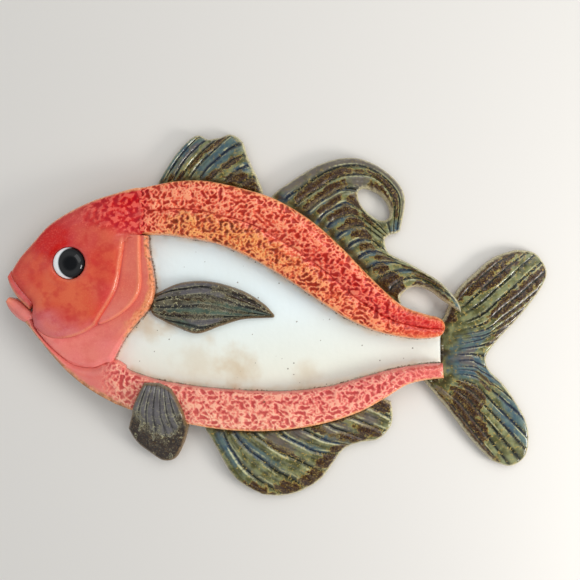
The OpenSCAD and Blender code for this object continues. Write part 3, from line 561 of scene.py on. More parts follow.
def makeEye():
    (x, y), radius, side = eyeStyle["at"], eyeStyle["radius"], eyeStyle["side"]
    profile = [(0, eyeStyle["base"]), (radius, eyeStyle["base"]), (radius, side - 1)]
    for share in np.sin(np.linspace(0, math.pi / 2, eyeStyle["rings"]))[::-1]:
        profile.append((radius * share, side + (eyeStyle["top"] - side) * (1 - share ** 2.6) ** 0.62))
    bm = bmesh.new()
    verts = [bm.verts.new(((x + r) * mm, y * mm, z * mm)) for r, z in profile]
    edges = [bm.edges.new(pair) for pair in zip(verts, verts[1:])]
    bmesh.ops.spin(bm, geom=verts + edges, cent=(x * mm, y * mm, 0), axis=(0, 0, 1),
                   angle=2 * math.pi, steps=eyeStyle["turns"], use_merge=True)
    bmesh.ops.remove_doubles(bm, verts=bm.verts[:], dist=sameSpot)
    bmesh.ops.recalc_face_normals(bm, faces=bm.faces[:])
    addPiece("eyeball", meshOf(bm, "eye"), eyeStyle["slot"])


floorStyle = dict(
    slot="floor_glaze", counts=(60, 240), inset=9.0, edgeRadius=1.0, edgeShare=0.92, reach=20.0,
    tailEnd=((121.0, -12.0), (120.3, -35.2)), cutAt=(114, 117), crease=50)


def makeFloor():  # the slab, drawn in under the bands as in the CAD
    columns, rows = floorStyle["counts"]
    lines = movedAside(backLine, floorStyle["inset"]), movedAside(bellyLine, -floorStyle["inset"])
    above, below = [
        evenly(np.concatenate([line[line[:, 0] < cut], [end]]), rows + 1)
        for line, cut, end in zip(lines, floorStyle["cutAt"], floorStyle["tailEnd"])]
    across, along = np.linspace(0, 1, columns + 1), np.linspace(0, 1, rows + 1)
    mesh = makeSheet(stripNet(below, above, across, along), across, along, lambda u, v: v < 1)
    x, y, top = readPlaces(mesh).T
    # the bands and the gill meet the floor along these lines, where a little glaze has gathered
    well = np.concatenate([
        smoothLine(coverLine), smoothLine(bellyInner)[7 * lineSteps:], smoothLine(backInner)[lineSteps:]])
    away, (rim,) = nearestDistance(x, y, well), readMasks(mesh, "rim")
    relief = 0.25 * uneven(x, y, 30, 71) + 0.7 * bump(away, 0, 1.6)
    writeMasks(mesh, dict(away=away / floorStyle["reach"]))
    writePlaces(mesh, x, y, top * (floorTop * rolledEdge(rim, floorStyle) + relief))
    mesh.set_sharp_from_angle(angle=math.radians(floorStyle["crease"]))
    addPiece("dish_floor", mesh, floorStyle["slot"])


print("body")
under = 1.5  # how far a strip runs on under the piece that lies over its edge
backLine = np.concatenate([smoothLine(headTop), smoothLine(backOuter)[1:]])
bellyLine, bellyUpper = smoothLine(bellyOuter), smoothLine(bellyInner)
tucked = bellyUpper[:, 0] < throatX
bellyUpper[tucked] = movedAside(bellyUpper, -under)[tucked]
few = 3  # steps from point to point, enough for a line that is made smooth once more
gillUpper = np.concatenate([smoothLine(gillRear, few), smoothLine(chinLine, few)[1:-1]])
gillLower = np.concatenate([smoothLine(coverLine, few), smoothLine(bellyInner, few)[4:6 * few][::-1]])
narrowRows = 81  # the last few points, where the two lines of the narrow plate meet, are left out
narrowFront, narrowRear = [smoothLine(line)[:narrowRows] for line in (gillFront, gillRear)]


def threeSides(u, v):
    return u <= 0 or v <= 0 or v >= 1


makeStrip(
    "back_band", backStyle, paintBack, lengthened(smoothLine(backInner), under, 0),
    lengthened(smoothLine(backOuter), under, 0), lambda u, v: v <= 0)
makeStrip(
    "belly_band", bellyStyle, paintBelly, bellyUpper, bellyLine,
    lambda u, v: v <= 0 or (u <= 0 and v < bellyStyle["freeFrom"]))
makeStrip(
    "inner_gill_plate", innerGillStyle, paintInnerGill, movedAside(narrowFront, under), narrowRear,
    threeSides)
makeStrip(
    "outer_gill_plate", outerGillStyle, paintOuterGill, movedAside(gillUpper, under), gillLower, threeSides)
makeStrip(
    "upper_lip", lipStyle, paintLip, smoothLine(lipOuter), movedAside(smoothLine(lipInner), -under),
    lambda u, v: u >= 1)
makeStrip(
    "lower_lip", jawStyle, paintJaw, lengthened(smoothLine(jawOuter), 0, under),
    lengthened(smoothLine(jawInner), 0, 2 * under), lambda u, v: v >= 1)
makeHead()
makeEye()
makeFloor()


# The fins: ribbed sheets laid over nets of guide ribs

def meetShare(guide, line):  # where a guide, carried on backwards with its bend, meets the line
    t = np.linspace(0, -1.5, 61)[:, None]
    first, second, third = np.array(guide[:3])
    path = first * (t - 1) * (t - 2) / 2 - second * t * (t - 2) + third * t * (t - 1) / 2
    apart = np.linalg.norm(path[:, None] - line[None], axis=2)
    return np.unravel_index(apart.argmin(), apart.shape)[1] / (len(line) - 1)


def finNet(style):  # places in rows from root to edge, with the columns counted in ribs
    guides, ribs, (perRib, rows) = style["guides"], style["ribs"], style["counts"]
    even, points = np.linspace(0, 1, len(guides)), len(guides[0])
    marks = style.get("marks", np.linspace(0, ribs, len(guides)))
    across, along = np.linspace(0, ribs, ribs * perRib + 1), crowded(rows, 0.35)
    shares = np.interp(across, marks, even)
    lines = np.einsum("cg,gkd->kcd", curveWeights(shares, len(guides)), np.array(guides, float))
    if "root" not in style:
        return np.einsum("rk,kcd->rcd", curveWeights(along, points), lines), across, along
    (root, outline), ends, follow = style["root"], style["rootShares"], style.get("follow", 0.85)
    meets = np.array([meetShare(guide, outline) for guide in guides])
    meets[0], meets[-1] = ends
    meets = np.maximum.accumulate(np.clip(meets, *ends))
    rooted = follow * np.interp(shares, even, meets) + (1 - follow) * np.interp(shares, [0, 1], ends)
    lines = np.concatenate([[onLine(root, rooted), onLine(outline, rooted)], lines])
    places = np.concatenate([[0, 0.5 / (1 + points)], (1 + along * points) / (1 + points)])
    net = np.einsum("rk,kcd->rcd", curveWeights(places, points + 2), lines)
    return net, across, np.concatenate([[-1, -0.5], along])


softness = {"rust": 0.25, "blue": 0.55, "grey": 0.55, "gold": 0.5}  # of the edges of each tone's strokes


def strokes(x, y, u, v, marks, seed, soft):  # brushed ovals: the rib, half the width in ribs, from, to
    mask = np.zeros(len(u))
    fray = 1.1 * uneven(x, y, 3.2, seed) + 0.6 * uneven(x, y, 1.4, seed + 1)
    for rib, half, start, end in marks:
        middle, reach = (start + end) / 2, (end - start) / 2
        oval = 1 - ((u - rib) / half) ** 2 - ((v - middle) / reach) ** 2 + fray
        mask = np.maximum(mask, eased(oval, -soft, soft + 0.25))
    return mask


def makeFin(node, style):
    flat, across, along = finNet(style)
    mesh = makeSheet(flat, across, along, lambda u, v: v < 0, style.get("hole"))
    x, y, top = readPlaces(mesh).T
    u, v, rim = readMasks(mesh, "across", "along", "rim")
    seed, rooted = style["seed"], "root" in style
    wander = style["wander"] * uneven(x, y, 14, seed + 9)
    wave = np.abs(np.sin(np.pi * (u + wander * eased(u, 0, 1))))
    ribIn = eased(v, 0, style["ribIn"]) if rooted else 1
    furrow = style["furrow"] * eased(wave, 0.9, 1) * eased(cloud(3 * u, 3 * v, 1, seed + 4), 0.25, 0.6)
    ridge = (wave ** style["crestPower"] - furrow) * ribIn * (0.85 + 0.3 * cloud(x, y, 11, seed))
    # ridge sets the glaze colour across a rib: dark in the grooves where the glaze pools, and darkened over
    # the slopes into them as painted shade; shade sets how wide that painted shade reaches
    masks = dict(ridge=np.maximum(wave ** style["shade"] - furrow, 1 - ribIn))
    for k, (tone, soft) in enumerate(softness.items()):
        masks[tone] = strokes(x, y, u, v, style[tone], seed + 20 + 3 * k, soft)
    lumps = 0.22 * uneven(x, y, 3.5, seed + 1) + 0.12 * uneven(x, y, 1.4, seed + 2)
    lumps += 0.25 * masks["rust"] * (cloud(x, y, 1.3, seed + 5) - 0.35)
    underside, stand = style["heights"](x, y)
    height = (style["thickness"] + style["relief"] * ridge + lumps) * rolledEdge(rim, style)
    broken = eased(cloud(2.5 * u, 7 * v, 1, seed + 7), 0, 0.9)
    masks["line"] = bump(wave, 0.55, 0.19) * broken * ribIn * eased(rim, 1.5, 3)
    # glow: a pale rim where the glaze thins over the rolled edge, lightened further as a painted highlight
    # of the window light on it
    masks["glow"] = eased(rim + 0.9 * uneven(x, y, 1.6, seed + 6), 2.2, 0.8)
    masks["root"] = eased(v, 0.14, 0.01) * eased(cloud(x, y, 4, seed + 8), 0.1, 0.6) if rooted else 0
    writeMasks(mesh, masks)
    writePlaces(mesh, x, y, underside + top * np.interp(v, *zip(*style["thick"])) * (stand + height))
    addPiece(node, mesh, style["slot"])


def onTable(x, y):  # heights: of the underside, and what the fin stands up over it besides its thickness
    return finUnder, 0


def onFloor(x, y):
    return floorTop, 0


def strandClimb(x, y):  # the lower strand of the fin runs up onto the root of the tail
    return finUnder + 6.8 * eased(x, 109.6, 122.9), 0


# heights as shares at places from the inner edge of the band, 0, to its outer edge, 1, and beyond
pelvicTop = [(-0.5, 0.2), (0, 0.5), (0.04, 0.7), (0.13, 0.88), (0.3, 1), (0.52, 1.02), (0.72, 0.97),
             (0.87, 0.85), (1, 0.62), (1.15, 0.38), (1.4, 0.16), (1.8, 0.04), (2.4, -0.03), (3.2, -0.12)]
pelvicUnder = [(0, 1.15), (1, 1.15), (1.05, 1.1), (1.3, 0.75), (1.6, 0.5), (2, 0.35), (3.2, 0.3)]


def overBelly(x, y):  # over the belly band and down outside it
    innerY, outerY = [np.interp(x, *line.T) for line in (smoothLine(bellyInner), bellyLine)]
    place = (innerY - y) / (innerY - outerY)
    drape = floorTop + pelvicStyle["rise"] * np.interp(place, *zip(*pelvicTop))
    snug = drape - pelvicStyle["least"]
    underside = np.minimum(snug, floorTop * np.interp(place, *zip(*pelvicUnder)))
    underside = np.where(place < 1.02, snug, underside)
    return underside, drape - underside


# how far fins run in under a band, the clearance there, and the step out from the root of the tail
tuck, gap, tailStep = 9.0, 0.3, 1.8
tailLine = smoothLine(tailRoot)
backRoot = movedAside(backLine, tuck - gap), movedAside(backLine, -gap)
finBase = dict(
    slot="fin_glaze", heights=onTable, thickness=5, relief=1.9, crestPower=0.9, shade=0.9,
    edgeRadius=2.6, edgeShare=0.3, wander=0.2, ribIn=0.1,
    thick=[(-1, 1), (0.3, 1), (0.68, 0.95), (0.88, 0.84), (0.96, 0.72), (1, 0.58)])
leafBase = dict(
    finBase, slot="dark_fin_glaze",
    thick=[(0, 0.75), (0.12, 0.92), (0.25, 1), (0.5, 0.98), (0.8, 0.84), (0.92, 0.66), (1, 0.5)])

# rust, blue, gold and the grey sheen hold the strokes of these tones; the grey sheen is a painted
# reflection of the room on the glossy glaze
frontFinStyle = dict(
    finBase, guides=frontFin, ribs=9, counts=(10, 64), root=backRoot, rootShares=(0.356, 0.535),
    relief=1.7, edgeRadius=2.4, furrow=0.3, seed=100, ribIn=0.12,
    rust=[(1.6, 0.3, 0, 0.22), (2.9, 0.35, 0, 0.2), (3.3, 0.3, 0.2, 0.6), (3.6, 0.4, 0.5, 1.05),
          (5.9, 0.4, 0, 0.35), (6.1, 0.34, 0.3, 0.8), (7.5, 0.8, 0, 0.7), (8.4, 0.6, 0, 0.8)],
    blue=[(0.5, 0.8, 0, 1), (1.7, 0.7, 0.1, 1), (4.5, 0.7, 0.1, 1), (5.3, 0.5, 0.1, 0.9), (7, 0.4, 0.4, 1)],
    grey=[(1.9, 0.5, 0.2, 0.85), (3, 0.3, 0.5, 0.9)],
    gold=[(3.3, 0.6, 0.1, 0.9), (6.3, 0.9, 0.6, 1), (7.8, 1.2, 0, 0.9)])
rearFinStyle = dict(
    finBase, guides=rearFin, ribs=12, counts=(12, 150), root=backRoot, rootShares=(0.547, 0.784),
    heights=strandClimb, furrow=0.2, seed=120,
    hole=smoothLine(np.concatenate([loopHole[-2:], loopHole, loopHole[:3]]))[2 * lineSteps:12 * lineSteps],
    rust=[(1.6, 0.47, 0.06, 0.55), (1.5, 0.41, 0.55, 0.93), (2.7, 0.45, 0.05, 0.42), (2.7, 0.5, 0.6, 0.9),
          (3.6, 0.41, 0.12, 0.36), (3.7, 0.45, 0.38, 0.6), (4.6, 0.47, 0.12, 0.5), (4.4, 0.45, 0.55, 0.8),
          (5.6, 0.47, 0.15, 0.58), (6.6, 0.45, 0.15, 0.6), (7.55, 0.41, 0.15, 0.42), (8.5, 0.43, 0.2, 0.6),
          (9.5, 0.41, 0.08, 0.3), (9.5, 0.41, 0.5, 0.85), (10.5, 0.39, 0.5, 0.9), (10.9, 1.1, 0, 0.36),
          (11.65, 0.45, 0.4, 0.95)],
    blue=[(0.9, 0.44, 0, 0.16), (3.1, 0.28, 0, 0.4), (4.1, 0.26, 0, 0.4), (5.1, 0.28, 0, 0.3),
          (6.1, 0.3, 0, 0.4), (7.1, 0.26, 0, 0.4), (8.05, 0.28, 0, 0.5), (9, 0.28, 0.1, 0.7),
          (10.2, 0.34, 0.35, 0.6), (1.5, 2.2, 0.93, 1.03), (11, 2, 0.9, 1.03)],
    grey=[(0.45, 0.6, 0.08, 0.93), (2.6, 0.8, 0.4, 0.62)],
    gold=[(1.9, 0.8, 0.3, 0.95), (3.5, 1.4, 0.5, 0.95), (6, 2.5, 0.2, 0.7), (10, 2, 0.3, 0.9)])
tailStyle = dict(
    finBase, guides=tailFin, ribs=20, counts=(9, 100), follow=0.45, rootShares=(0, 1),
    marks=(0, 3, 5, 6, 7, 8, 9, 10, 11, 12, 13, 14, 15, 16.5, 18, 20),  # the rib that each guide runs along
    root=(tailLine, movedAside(tailLine, -tailStep)), thickness=5.4, relief=0.8, crestPower=1, shade=1.1,
    edgeRadius=3, wander=0.1, furrow=0.1, seed=140, ribIn=0.3,
    rust=[(0.9, 1.2, 0.1, 1.02), (2.2, 0.5, 0.35, 0.85), (4.9, 0.7, 0.3, 1.05), (6.1, 0.4, 0.35, 1),
          (7.1, 0.5, 0.4, 1), (8.1, 0.5, 0.5, 0.98), (9, 0.3, 0.6, 0.9), (13, 0.5, 0.25, 0.6),
          (14.1, 0.4, 0.3, 0.5), (15.8, 0.8, 0.12, 0.45), (17, 1, 0.1, 0.5), (18.3, 1, 0.05, 0.75),
          (19.5, 0.8, 0, 1.05), (1.6, 2.2, 0, 0.12)],
    blue=[(10, 4, 0.04, 0.42), (11.4, 1.4, 0.05, 1), (13.4, 1.6, 0.05, 0.34), (14, 1, 0.6, 1.05),
          (15.4, 0.6, 0.5, 1)],
    grey=[(10.5, 1.6, 0.1, 0.4), (18.6, 0.5, 0.05, 0.2)],
    gold=[(1.5, 1.5, 0.1, 0.9), (6.5, 2, 0.4, 0.9), (13.8, 1.5, 0.3, 0.7), (16.4, 1.2, 0.4, 0.9)])
analStyle = dict(
    finBase, guides=analFin, ribs=9, counts=(14, 90), rootShares=(0.519, 0.842),
    root=(movedAside(bellyLine, gap - tuck), movedAside(bellyLine, gap)), shade=0.6, furrow=0.45, seed=160,
    rust=[(0.5, 0.35, 0.72, 0.98), (1.5, 0.5, 0.8, 1), (2.5, 0.6, 0.84, 1), (3.6, 0.5, 0.8, 1),
          (4.6, 0.5, 0.75, 1), (5.6, 0.6, 0.5, 0.9), (3.15, 0.22, 0.15, 0.7), (5.45, 0.25, 0.08, 0.5),
          (6.6, 0.5, 0.04, 0.3), (6.7, 0.4, 0.5, 0.95), (7.6, 0.8, 0.04, 0.45), (8.5, 0.6, 0.1, 0.95)],
    blue=[(0.8, 0.4, 0.05, 0.6), (2.15, 0.3, 0.05, 0.7), (4.05, 0.25, 0.2, 0.8), (5.2, 0.35, 0.4, 0.9)],
    grey=[(3.5, 0.4, 0.08, 0.6), (4.6, 0.45, 0, 0.5), (6, 0.5, 0.1, 0.6), (7.3, 0.5, 0.3, 0.8)],
    gold=[(2.5, 2, 0.7, 1), (7, 1.6, 0.1, 0.6)])
pelvicStyle = dict(
    leafBase, guides=pelvicFin, ribs=7, counts=(12, 84), heights=overBelly, rise=12.5, least=0.4,
    thickness=4.7, relief=0.9, crestPower=0.45, shade=0.5, edgeRadius=2.4, edgeShare=0.35, wander=0.15,
    furrow=0.15, seed=180,
    rust=[(0.5, 0.9, 0.4, 1.02), (1.9, 1, 0.56, 1.05), (3.5, 1.1, 0.66, 1.05), (5, 1, 0.58, 1.05),
          (6.4, 1, 0.48, 1.02)],
    blue=[], grey=[(3.5, 4.4, -0.3, 0.66)], gold=[(3.6, 1.5, 0.35, 0.8)])
pectoralStyle = dict(
    leafBase, guides=pectoralFin, ribs=6, counts=(14, 130), heights=onFloor,
    relief=1.6, crestPower=0.7, shade=1.1, edgeRadius=3, wander=0.6, furrow=0.3, seed=200,
    rust=[(0.9, 0.5, 0.4, 0.97), (2.05, 0.4, 0.15, 0.62), (2.9, 0.36, 0.3, 0.8), (3.9, 0.4, 0.1, 0.55),
          (4.4, 0.4, 0.5, 0.95), (5.6, 0.5, 0.35, 0.98), (3, 3.4, -0.05, 0.05)],
    blue=[(2.5, 0.6, 0.3, 1), (3.4, 0.45, 0.05, 0.9), (4.9, 0.4, 0.1, 0.5)],
    grey=[(0.5, 0.9, 0, 0.5), (1.5, 0.5, 0.15, 0.5), (4.4, 0.6, 0.25, 0.6)],
    gold=[(0.8, 0.8, 0.5, 0.95), (2, 0.4, 0.1, 0.4), (4.4, 0.6, 0.25, 0.75), (5.4, 0.6, 0.2, 0.8),
          (3.2, 0.4, 0.4, 0.7)])


print("fins")
makeFin("front_dorsal_fin", frontFinStyle)
makeFin("rear_dorsal_fin", rearFinStyle)
makeFin("tail_fin", tailStyle)
makeFin("anal_fin", analStyle)
makeFin("pelvic_fin", pelvicStyle)
makeFin("pectoral_fin", pectoralStyle)


# Materials

def srgb(r, g, b):  # a colour as a screen shows it, from 0 to 255
    shares = (r / 255, g / 255, b / 255)
    return tuple(c / 12.92 if c <= 0.04045 else ((c + 0.055) / 1.055) ** 2.4 for c in shares) + (1.0,)


def asColours(value):  # what a look holds, with its colours made ready for the nodes
    if isinstance(value, list):
        return [asColours(item) for item in value]
    return srgb(*value) if isinstance(value, tuple) else value


def isSocket(value):
    return isinstance(value, bpy.types.NodeSocket)


def addNode(tree, kind, values=None, **settings):
    node = tree.nodes.new(kind)
    for key, value in settings.items():
        setattr(node, key, value)
    for key, value in (values or {}).items():
        if isSocket(value):
            tree.links.new(value, node.inputs[key])
        else:
            node.inputs[key].default_value = value
    return node


def calc(operation, a, b):  # at least one of a and b is a socket
    tree = (a if isSocket(a) else b).id_data
    return addNode(tree, "ShaderNodeMath", {0: a, 1: b}, operation=operation).outputs[0]


def plus(*values):
    return reduce(lambda a, b: calc("ADD", a, b), values)


def times(*values):
    return reduce(lambda a, b: calc("MULTIPLY", a, b), values)


def minus(a, b):
    return calc("SUBTRACT", a, b)


def larger(a, b):
    return calc("MAXIMUM", a, b)


def mixed(factor, a, b):
    return addNode(factor.id_data, "ShaderNodeMix", {0: factor, 6: a, 7: b}, data_type="RGBA").outputs[2]


def layered(colour, *layers):  # each layer is a mask and the colour that it brings
    for mask, tone in layers:
        colour = mixed(mask, colour, tone)
    return colour


def stepped(value, low, high):  # 0 at low, 1 at high and smooth between, whichever of them is larger
    return addNode(value.id_data, "ShaderNodeMapRange", {"Value": value, "From Min": low, "From Max": high},
                   interpolation_type="SMOOTHSTEP").outputs["Result"]


def vectorCalc(operation, place, other=(0, 0, 0)):
    return addNode(place.id_data, "ShaderNodeVectorMath", {0: place, 1: other}, operation=operation).outputs


def perMetre(size):  # how often a pattern of a size in millimetres comes in a metre
    return calc("DIVIDE", 1000, size) if isSocket(size) else 1000 / size


def noiseOf(place, size, detail):
    return addNode(place.id_data, "ShaderNodeTexNoise", {
        "Vector": place, "Scale": perMetre(size), "Detail": detail}).outputs["Fac"]


def placeIn(tree):
    return addNode(tree, "ShaderNodeTexCoord").outputs["Object"]


def masksOf(tree, *names):
    return [addNode(tree, "ShaderNodeAttribute", attribute_name=name).outputs["Fac"] for name in names]


def newGroup(name, inputs, outputs):  # sockets by name with their first values, four numbers for a colour
    group = bpy.data.node_groups.new(name, "ShaderNodeTree")
    for side, sockets in (("INPUT", inputs), ("OUTPUT", outputs)):
        for key, value in sockets.items():
            kind = "NodeSocketColor" if isinstance(value, tuple) else "NodeSocketFloat"
            group.interface.new_socket(key, in_out=side, socket_type=kind).default_value = value
    return group, group.nodes.new("NodeGroupInput").outputs, group.nodes.new("NodeGroupOutput").inputs


def joinAll(tree, values, sockets):
    for key, value in values.items():
        tree.links.new(value, sockets[key])


def makeGlazeSurface():  # the unevenness that every glaze has: clouds, fine grain, specks and small dimples
    group, given, result = newGroup(
        "glazeSurface", {"Cloud Size": 14.0, "Grain Size": 1.2, "Speck Size": 2.2, "Speck Share": 0.1},
        {"Cloud": 0.0, "Grain": 0.0, "Specks": 0.0, "Height": 0.0})
    place = placeIn(group)
    clouds, grain = noiseOf(place, given["Cloud Size"], 3), noiseOf(place, given["Grain Size"], 3)
    perSpeck = perMetre(given["Speck Size"])
    spots = addNode(group, "ShaderNodeTexVoronoi", {"Vector": place, "Scale": perSpeck}).outputs
    chance = addNode(group, "ShaderNodeSeparateColor", {"Color": spots["Color"]}).outputs
    chosen = calc("LESS_THAN", chance[0], given["Speck Share"])
    dot = calc("LESS_THAN", spots["Distance"], times(plus(chance[1], 0.4), 0.22))
    height = plus(times(noiseOf(place, 5, 1), 0.7), times(grain, 0.12))
    joinAll(group, {"Cloud": stepped(clouds, 0.32, 0.68), "Grain": stepped(grain, 0.3, 0.7),
                    "Specks": times(chosen, dot), "Height": height}, result)
    return group


def makeBareClay():  # a glaze where "Glazed" is 1, and the bare clay of the underside where it is 0
    group, given, result = newGroup(
        "bareClay", {"Glazed Colour": (1, 1, 1, 1), "Glazed Roughness": 0.15, "Glazed": 1.0},
        {"Color": (0, 0, 0, 1), "Roughness": 0.0})
    place = placeIn(group)
    grain, patches = [stepped(noiseOf(place, *kind), 0.35, 0.65) for kind in ((0.9, 4), (30, 3))]
    clay = layered(
        srgb(176, 146, 112), (grain, srgb(203, 178, 146)), (times(patches, 0.4), srgb(160, 122, 88)))
    glazed = stepped(given["Glazed"], 0.02, 0.15)
    rough = addNode(group, "ShaderNodeMix", {0: glazed, 2: 0.85, 3: given["Glazed Roughness"]}).outputs[0]
    joinAll(group, {"Color": mixed(glazed, clay, given["Glazed Colour"]), "Roughness": rough}, result)
    return group


glazeSurface = makeGlazeSurface()
bareClay = makeBareClay()


def newMaterial(name, values):
    material = bpy.data.materials.new(name)
    material.use_nodes = True
    shader = material.node_tree.nodes["Principled BSDF"].inputs
    for key, value in values.items():
        shader[key].default_value = value
    return material, material.node_tree, shader


glossy = {"IOR": 1.43, "Coat Weight": 0.1, "Coat Roughness": 0.04}


def startMaterial(name, bumpDistance, surface, values=glossy):
    material, tree, shader = newMaterial(name, values)
    parts = addNode(tree, "ShaderNodeGroup", surface, node_tree=glazeSurface).outputs
    lumps = addNode(tree, "ShaderNodeBump", {
        "Height": parts["Height"], "Distance": bumpDistance * mm, "Strength": 1.0})
    joinAll(tree, {"Normal": lumps.outputs["Normal"]}, shader)
    return material, shader, placeIn(tree), parts


def finishMaterial(material, shader, colour, roughness):
    tree = material.node_tree
    glazed = masksOf(tree, "top")[0]
    given = {"Glazed Colour": colour, "Glazed Roughness": roughness, "Glazed": glazed}
    result = addNode(tree, "ShaderNodeGroup", given, node_tree=bareClay).outputs
    joinAll(tree, {"Base Color": result["Color"], "Roughness": result["Roughness"]}, shader)
    return material


# tones: on the ridges, between and in the pits, of the plain, the deep and the warm glaze
backLook = dict(
    tones=[[(248, 162, 122), (228, 94, 66), (156, 34, 24)], [(238, 112, 86), (206, 46, 42), (148, 10, 14)],
           [(242, 166, 98), (206, 100, 50), (112, 46, 20)]],
    cloud=(226, 92, 64), cloudShare=0.2, stain=(206, 60, 44), stainShare=0.25,
    glow=(222, 126, 68), glowTwo=(246, 180, 122), dark=(78, 42, 24),
    specks=0.03, roughness=0.13, grain=0.2, shine=0.5)
bellyLook = dict(
    tones=[[(252, 196, 162), (230, 130, 112), (184, 74, 70)],
           [(242, 162, 140), (224, 108, 100), (182, 64, 64)],
           [(220, 124, 112), (216, 114, 106), (200, 88, 84)]],
    cloud=(224, 114, 102), cloudShare=0.25, stain=(232, 138, 116), stainShare=0.25,
    glow=(220, 132, 72), glowTwo=(246, 184, 134), dark=(84, 50, 28),
    specks=0.02, roughness=0.16, grain=0.25, shine=0.5)
headLook = dict(
    tones=[[(214, 92, 72), (202, 66, 54), (178, 42, 40)], [(228, 90, 76), (196, 24, 22), (168, 14, 28)],
           [(216, 126, 118), (206, 106, 108), (190, 80, 86)]],
    cloud=(222, 116, 78), cloudShare=0.35, stain=(188, 42, 46), stainShare=0.5,
    glow=(224, 138, 86), glowTwo=(246, 186, 142), dark=(110, 44, 30),
    specks=0.0, roughness=0.14, grain=0.35, shine=0.25)
gillLook = dict(
    tones=[[(232, 146, 98), (216, 96, 70), (150, 62, 34)], [(184, 62, 56), (170, 50, 48), (140, 40, 38)],
           [(234, 146, 130), (230, 124, 118), (196, 86, 80)]],
    cloud=(222, 128, 106), cloudShare=0.4, stain=(206, 84, 78), stainShare=0.3,
    glow=(216, 126, 74), glowTwo=(238, 164, 116), dark=(84, 46, 26),
    specks=0.0, roughness=0.15, grain=0.3, shine=0.4)


def makeRedGlaze(name, plainLook):
    look = {key: asColours(value) for key, value in plainLook.items()}
    material, shader, place, parts = startMaterial(name, 0.12, {
        "Cloud Size": 16.0, "Grain Size": 1.1, "Speck Size": 2.6, "Speck Share": look["specks"]})
    tree, grain = material.node_tree, parts["Grain"]
    pits, deep, warm, orange, glow, dark = masksOf(tree, "pit", "deep", "warm", "orange", "glow", "dark")
    pit = plus(pits, times(minus(grain, 0.5), look["grain"]))
    middle, bottom = stepped(pit, 0.1, 0.5), stepped(pit, 0.55, 0.95)
    tones = [mixed(bottom, mixed(middle, ridge, between), low) for ridge, between, low in look["tones"]]
    colour = layered(
        tones[0], (deep, tones[1]), (times(orange, plus(times(grain, 0.4), 0.35)), look["cloud"]),
        (warm, tones[2]), (times(parts["Cloud"], minus(1, deep), look["cloudShare"]), look["cloud"]),
        (times(stepped(noiseOf(place, 7, 4), 0.45, 0.7), look["stainShare"]), look["stain"]),
        (glow, mixed(grain, look["glow"], look["glowTwo"])),
        (larger(dark, times(parts["Specks"], 0.7)), look["dark"]))
    # less light is mirrored in the pits
    joinAll(tree, {"Specular IOR Level": times(minus(1, times(bottom, 0.68)), look["shine"])}, shader)
    return finishMaterial(material, shader, colour, plus(times(bottom, 0.08), look["roughness"]))


# in both looks the grey tone is the colour of a painted reflection: the room mirrored on the glaze
finLook = dict(
    pale=(124, 128, 90), paleTwo=(80, 80, 46), blue=(62, 86, 98), blueTwo=(88, 108, 104),
    grey=(103, 94, 90), line=(196, 196, 150), groove=(20, 24, 16), navy=(14, 27, 48),
    rust=(38, 19, 8), rustTwo=(68, 38, 16), tan=(106, 82, 36), gold=(178, 154, 82),
    edge=(206, 196, 158), mottle=0.75, goldShare=0.6)
darkFinLook = dict(
    pale=(104, 100, 82), paleTwo=(64, 58, 44), blue=(58, 74, 64), blueTwo=(82, 98, 84),
    grey=(96, 92, 96), line=(140, 138, 112), groove=(26, 22, 20), navy=(26, 30, 28),
    rust=(28, 16, 7), rustTwo=(46, 28, 12), tan=(74, 54, 26), gold=(186, 180, 140),
    edge=(122, 98, 64), mottle=0.5, goldShare=0.7)


def makeFinGlaze(name, plainLook):
    look = {key: asColours(value) for key, value in plainLook.items()}
    material, shader, place, parts = startMaterial(name, 0.14, {"Grain Size": 0.9})
    ridge, rust, gold, blue, grey, line, root, glow = masksOf(
        material.node_tree, "ridge", "rust", "gold", "blue", "grey", "line", "root", "glow")
    medium, fine = minus(noiseOf(place, 2.6, 3), 0.5), minus(noiseOf(place, 0.9, 3), 0.5)

    def frayed(mask, mediumShare, fineShare, low, high):
        return stepped(plus(mask, times(medium, mediumShare), times(fine, fineShare)), low, high)

    patches = stepped(noiseOf(place, 8, 4), 0.38, 0.62)
    mottle = stepped(plus(medium, times(fine, 1.4)), 0.16, 0.34)
    calm = minus(1, times(larger(blue, grey), 0.75))
    rusty, core = [times(frayed(rust, 2.2, 2, *span), calm) for span in ((0.31, 0.45), (0.5, 0.66))]
    sprinkle = times(stepped(noiseOf(place, 1.4, 3), 0.6, 0.68), larger(times(rusty, 0.3), gold))
    # the grey strokes laid over the plain glaze are a painted reflection of the room
    plain = layered(
        look["pale"], (patches, look["paleTwo"]), (blue, mixed(patches, look["blue"], look["blueTwo"])),
        (times(grey, 0.85), look["grey"]))
    # in the rusty strokes too the grooves take the dark groove colour: pooled glaze and painted shade
    brown = layered(
        look["rust"], (stepped(fine, -0.04, 0.12), look["rustTwo"]),
        (stepped(plus(fine, times(medium, 0.8)), 0.06, 0.18), look["tan"]),
        (stepped(ridge, 0.4, 0.1), look["groove"]))
    # dark between the ribs: pooled glaze in the grooves and painted shade on the slopes
    colour = layered(
        mixed(blue, look["groove"], look["navy"]), (frayed(ridge, 0.5, 0.3, 0.05, 0.95), plain),
        (times(frayed(line, 0.8, 0.9, 0.25, 1), 0.85), look["line"]),
        (times(mottle, calm, look["mottle"]), look["rustTwo"]),
        (rusty, mixed(stepped(fine, -0.08, 0.06), look["tan"], look["gold"])), (core, brown),
        (times(root, 0.8), look["rust"]), (times(sprinkle, calm, look["goldShare"]), look["gold"]),
        # the rim colour: cream on the ribbed fins, thin glaze and painted highlight; rust on the dark fins
        (times(glow, plus(times(parts["Grain"], 0.6), 0.4)), look["edge"]))
    return finishMaterial(material, shader, colour, plus(times(core, 0.16), times(patches, 0.08), 0.1))


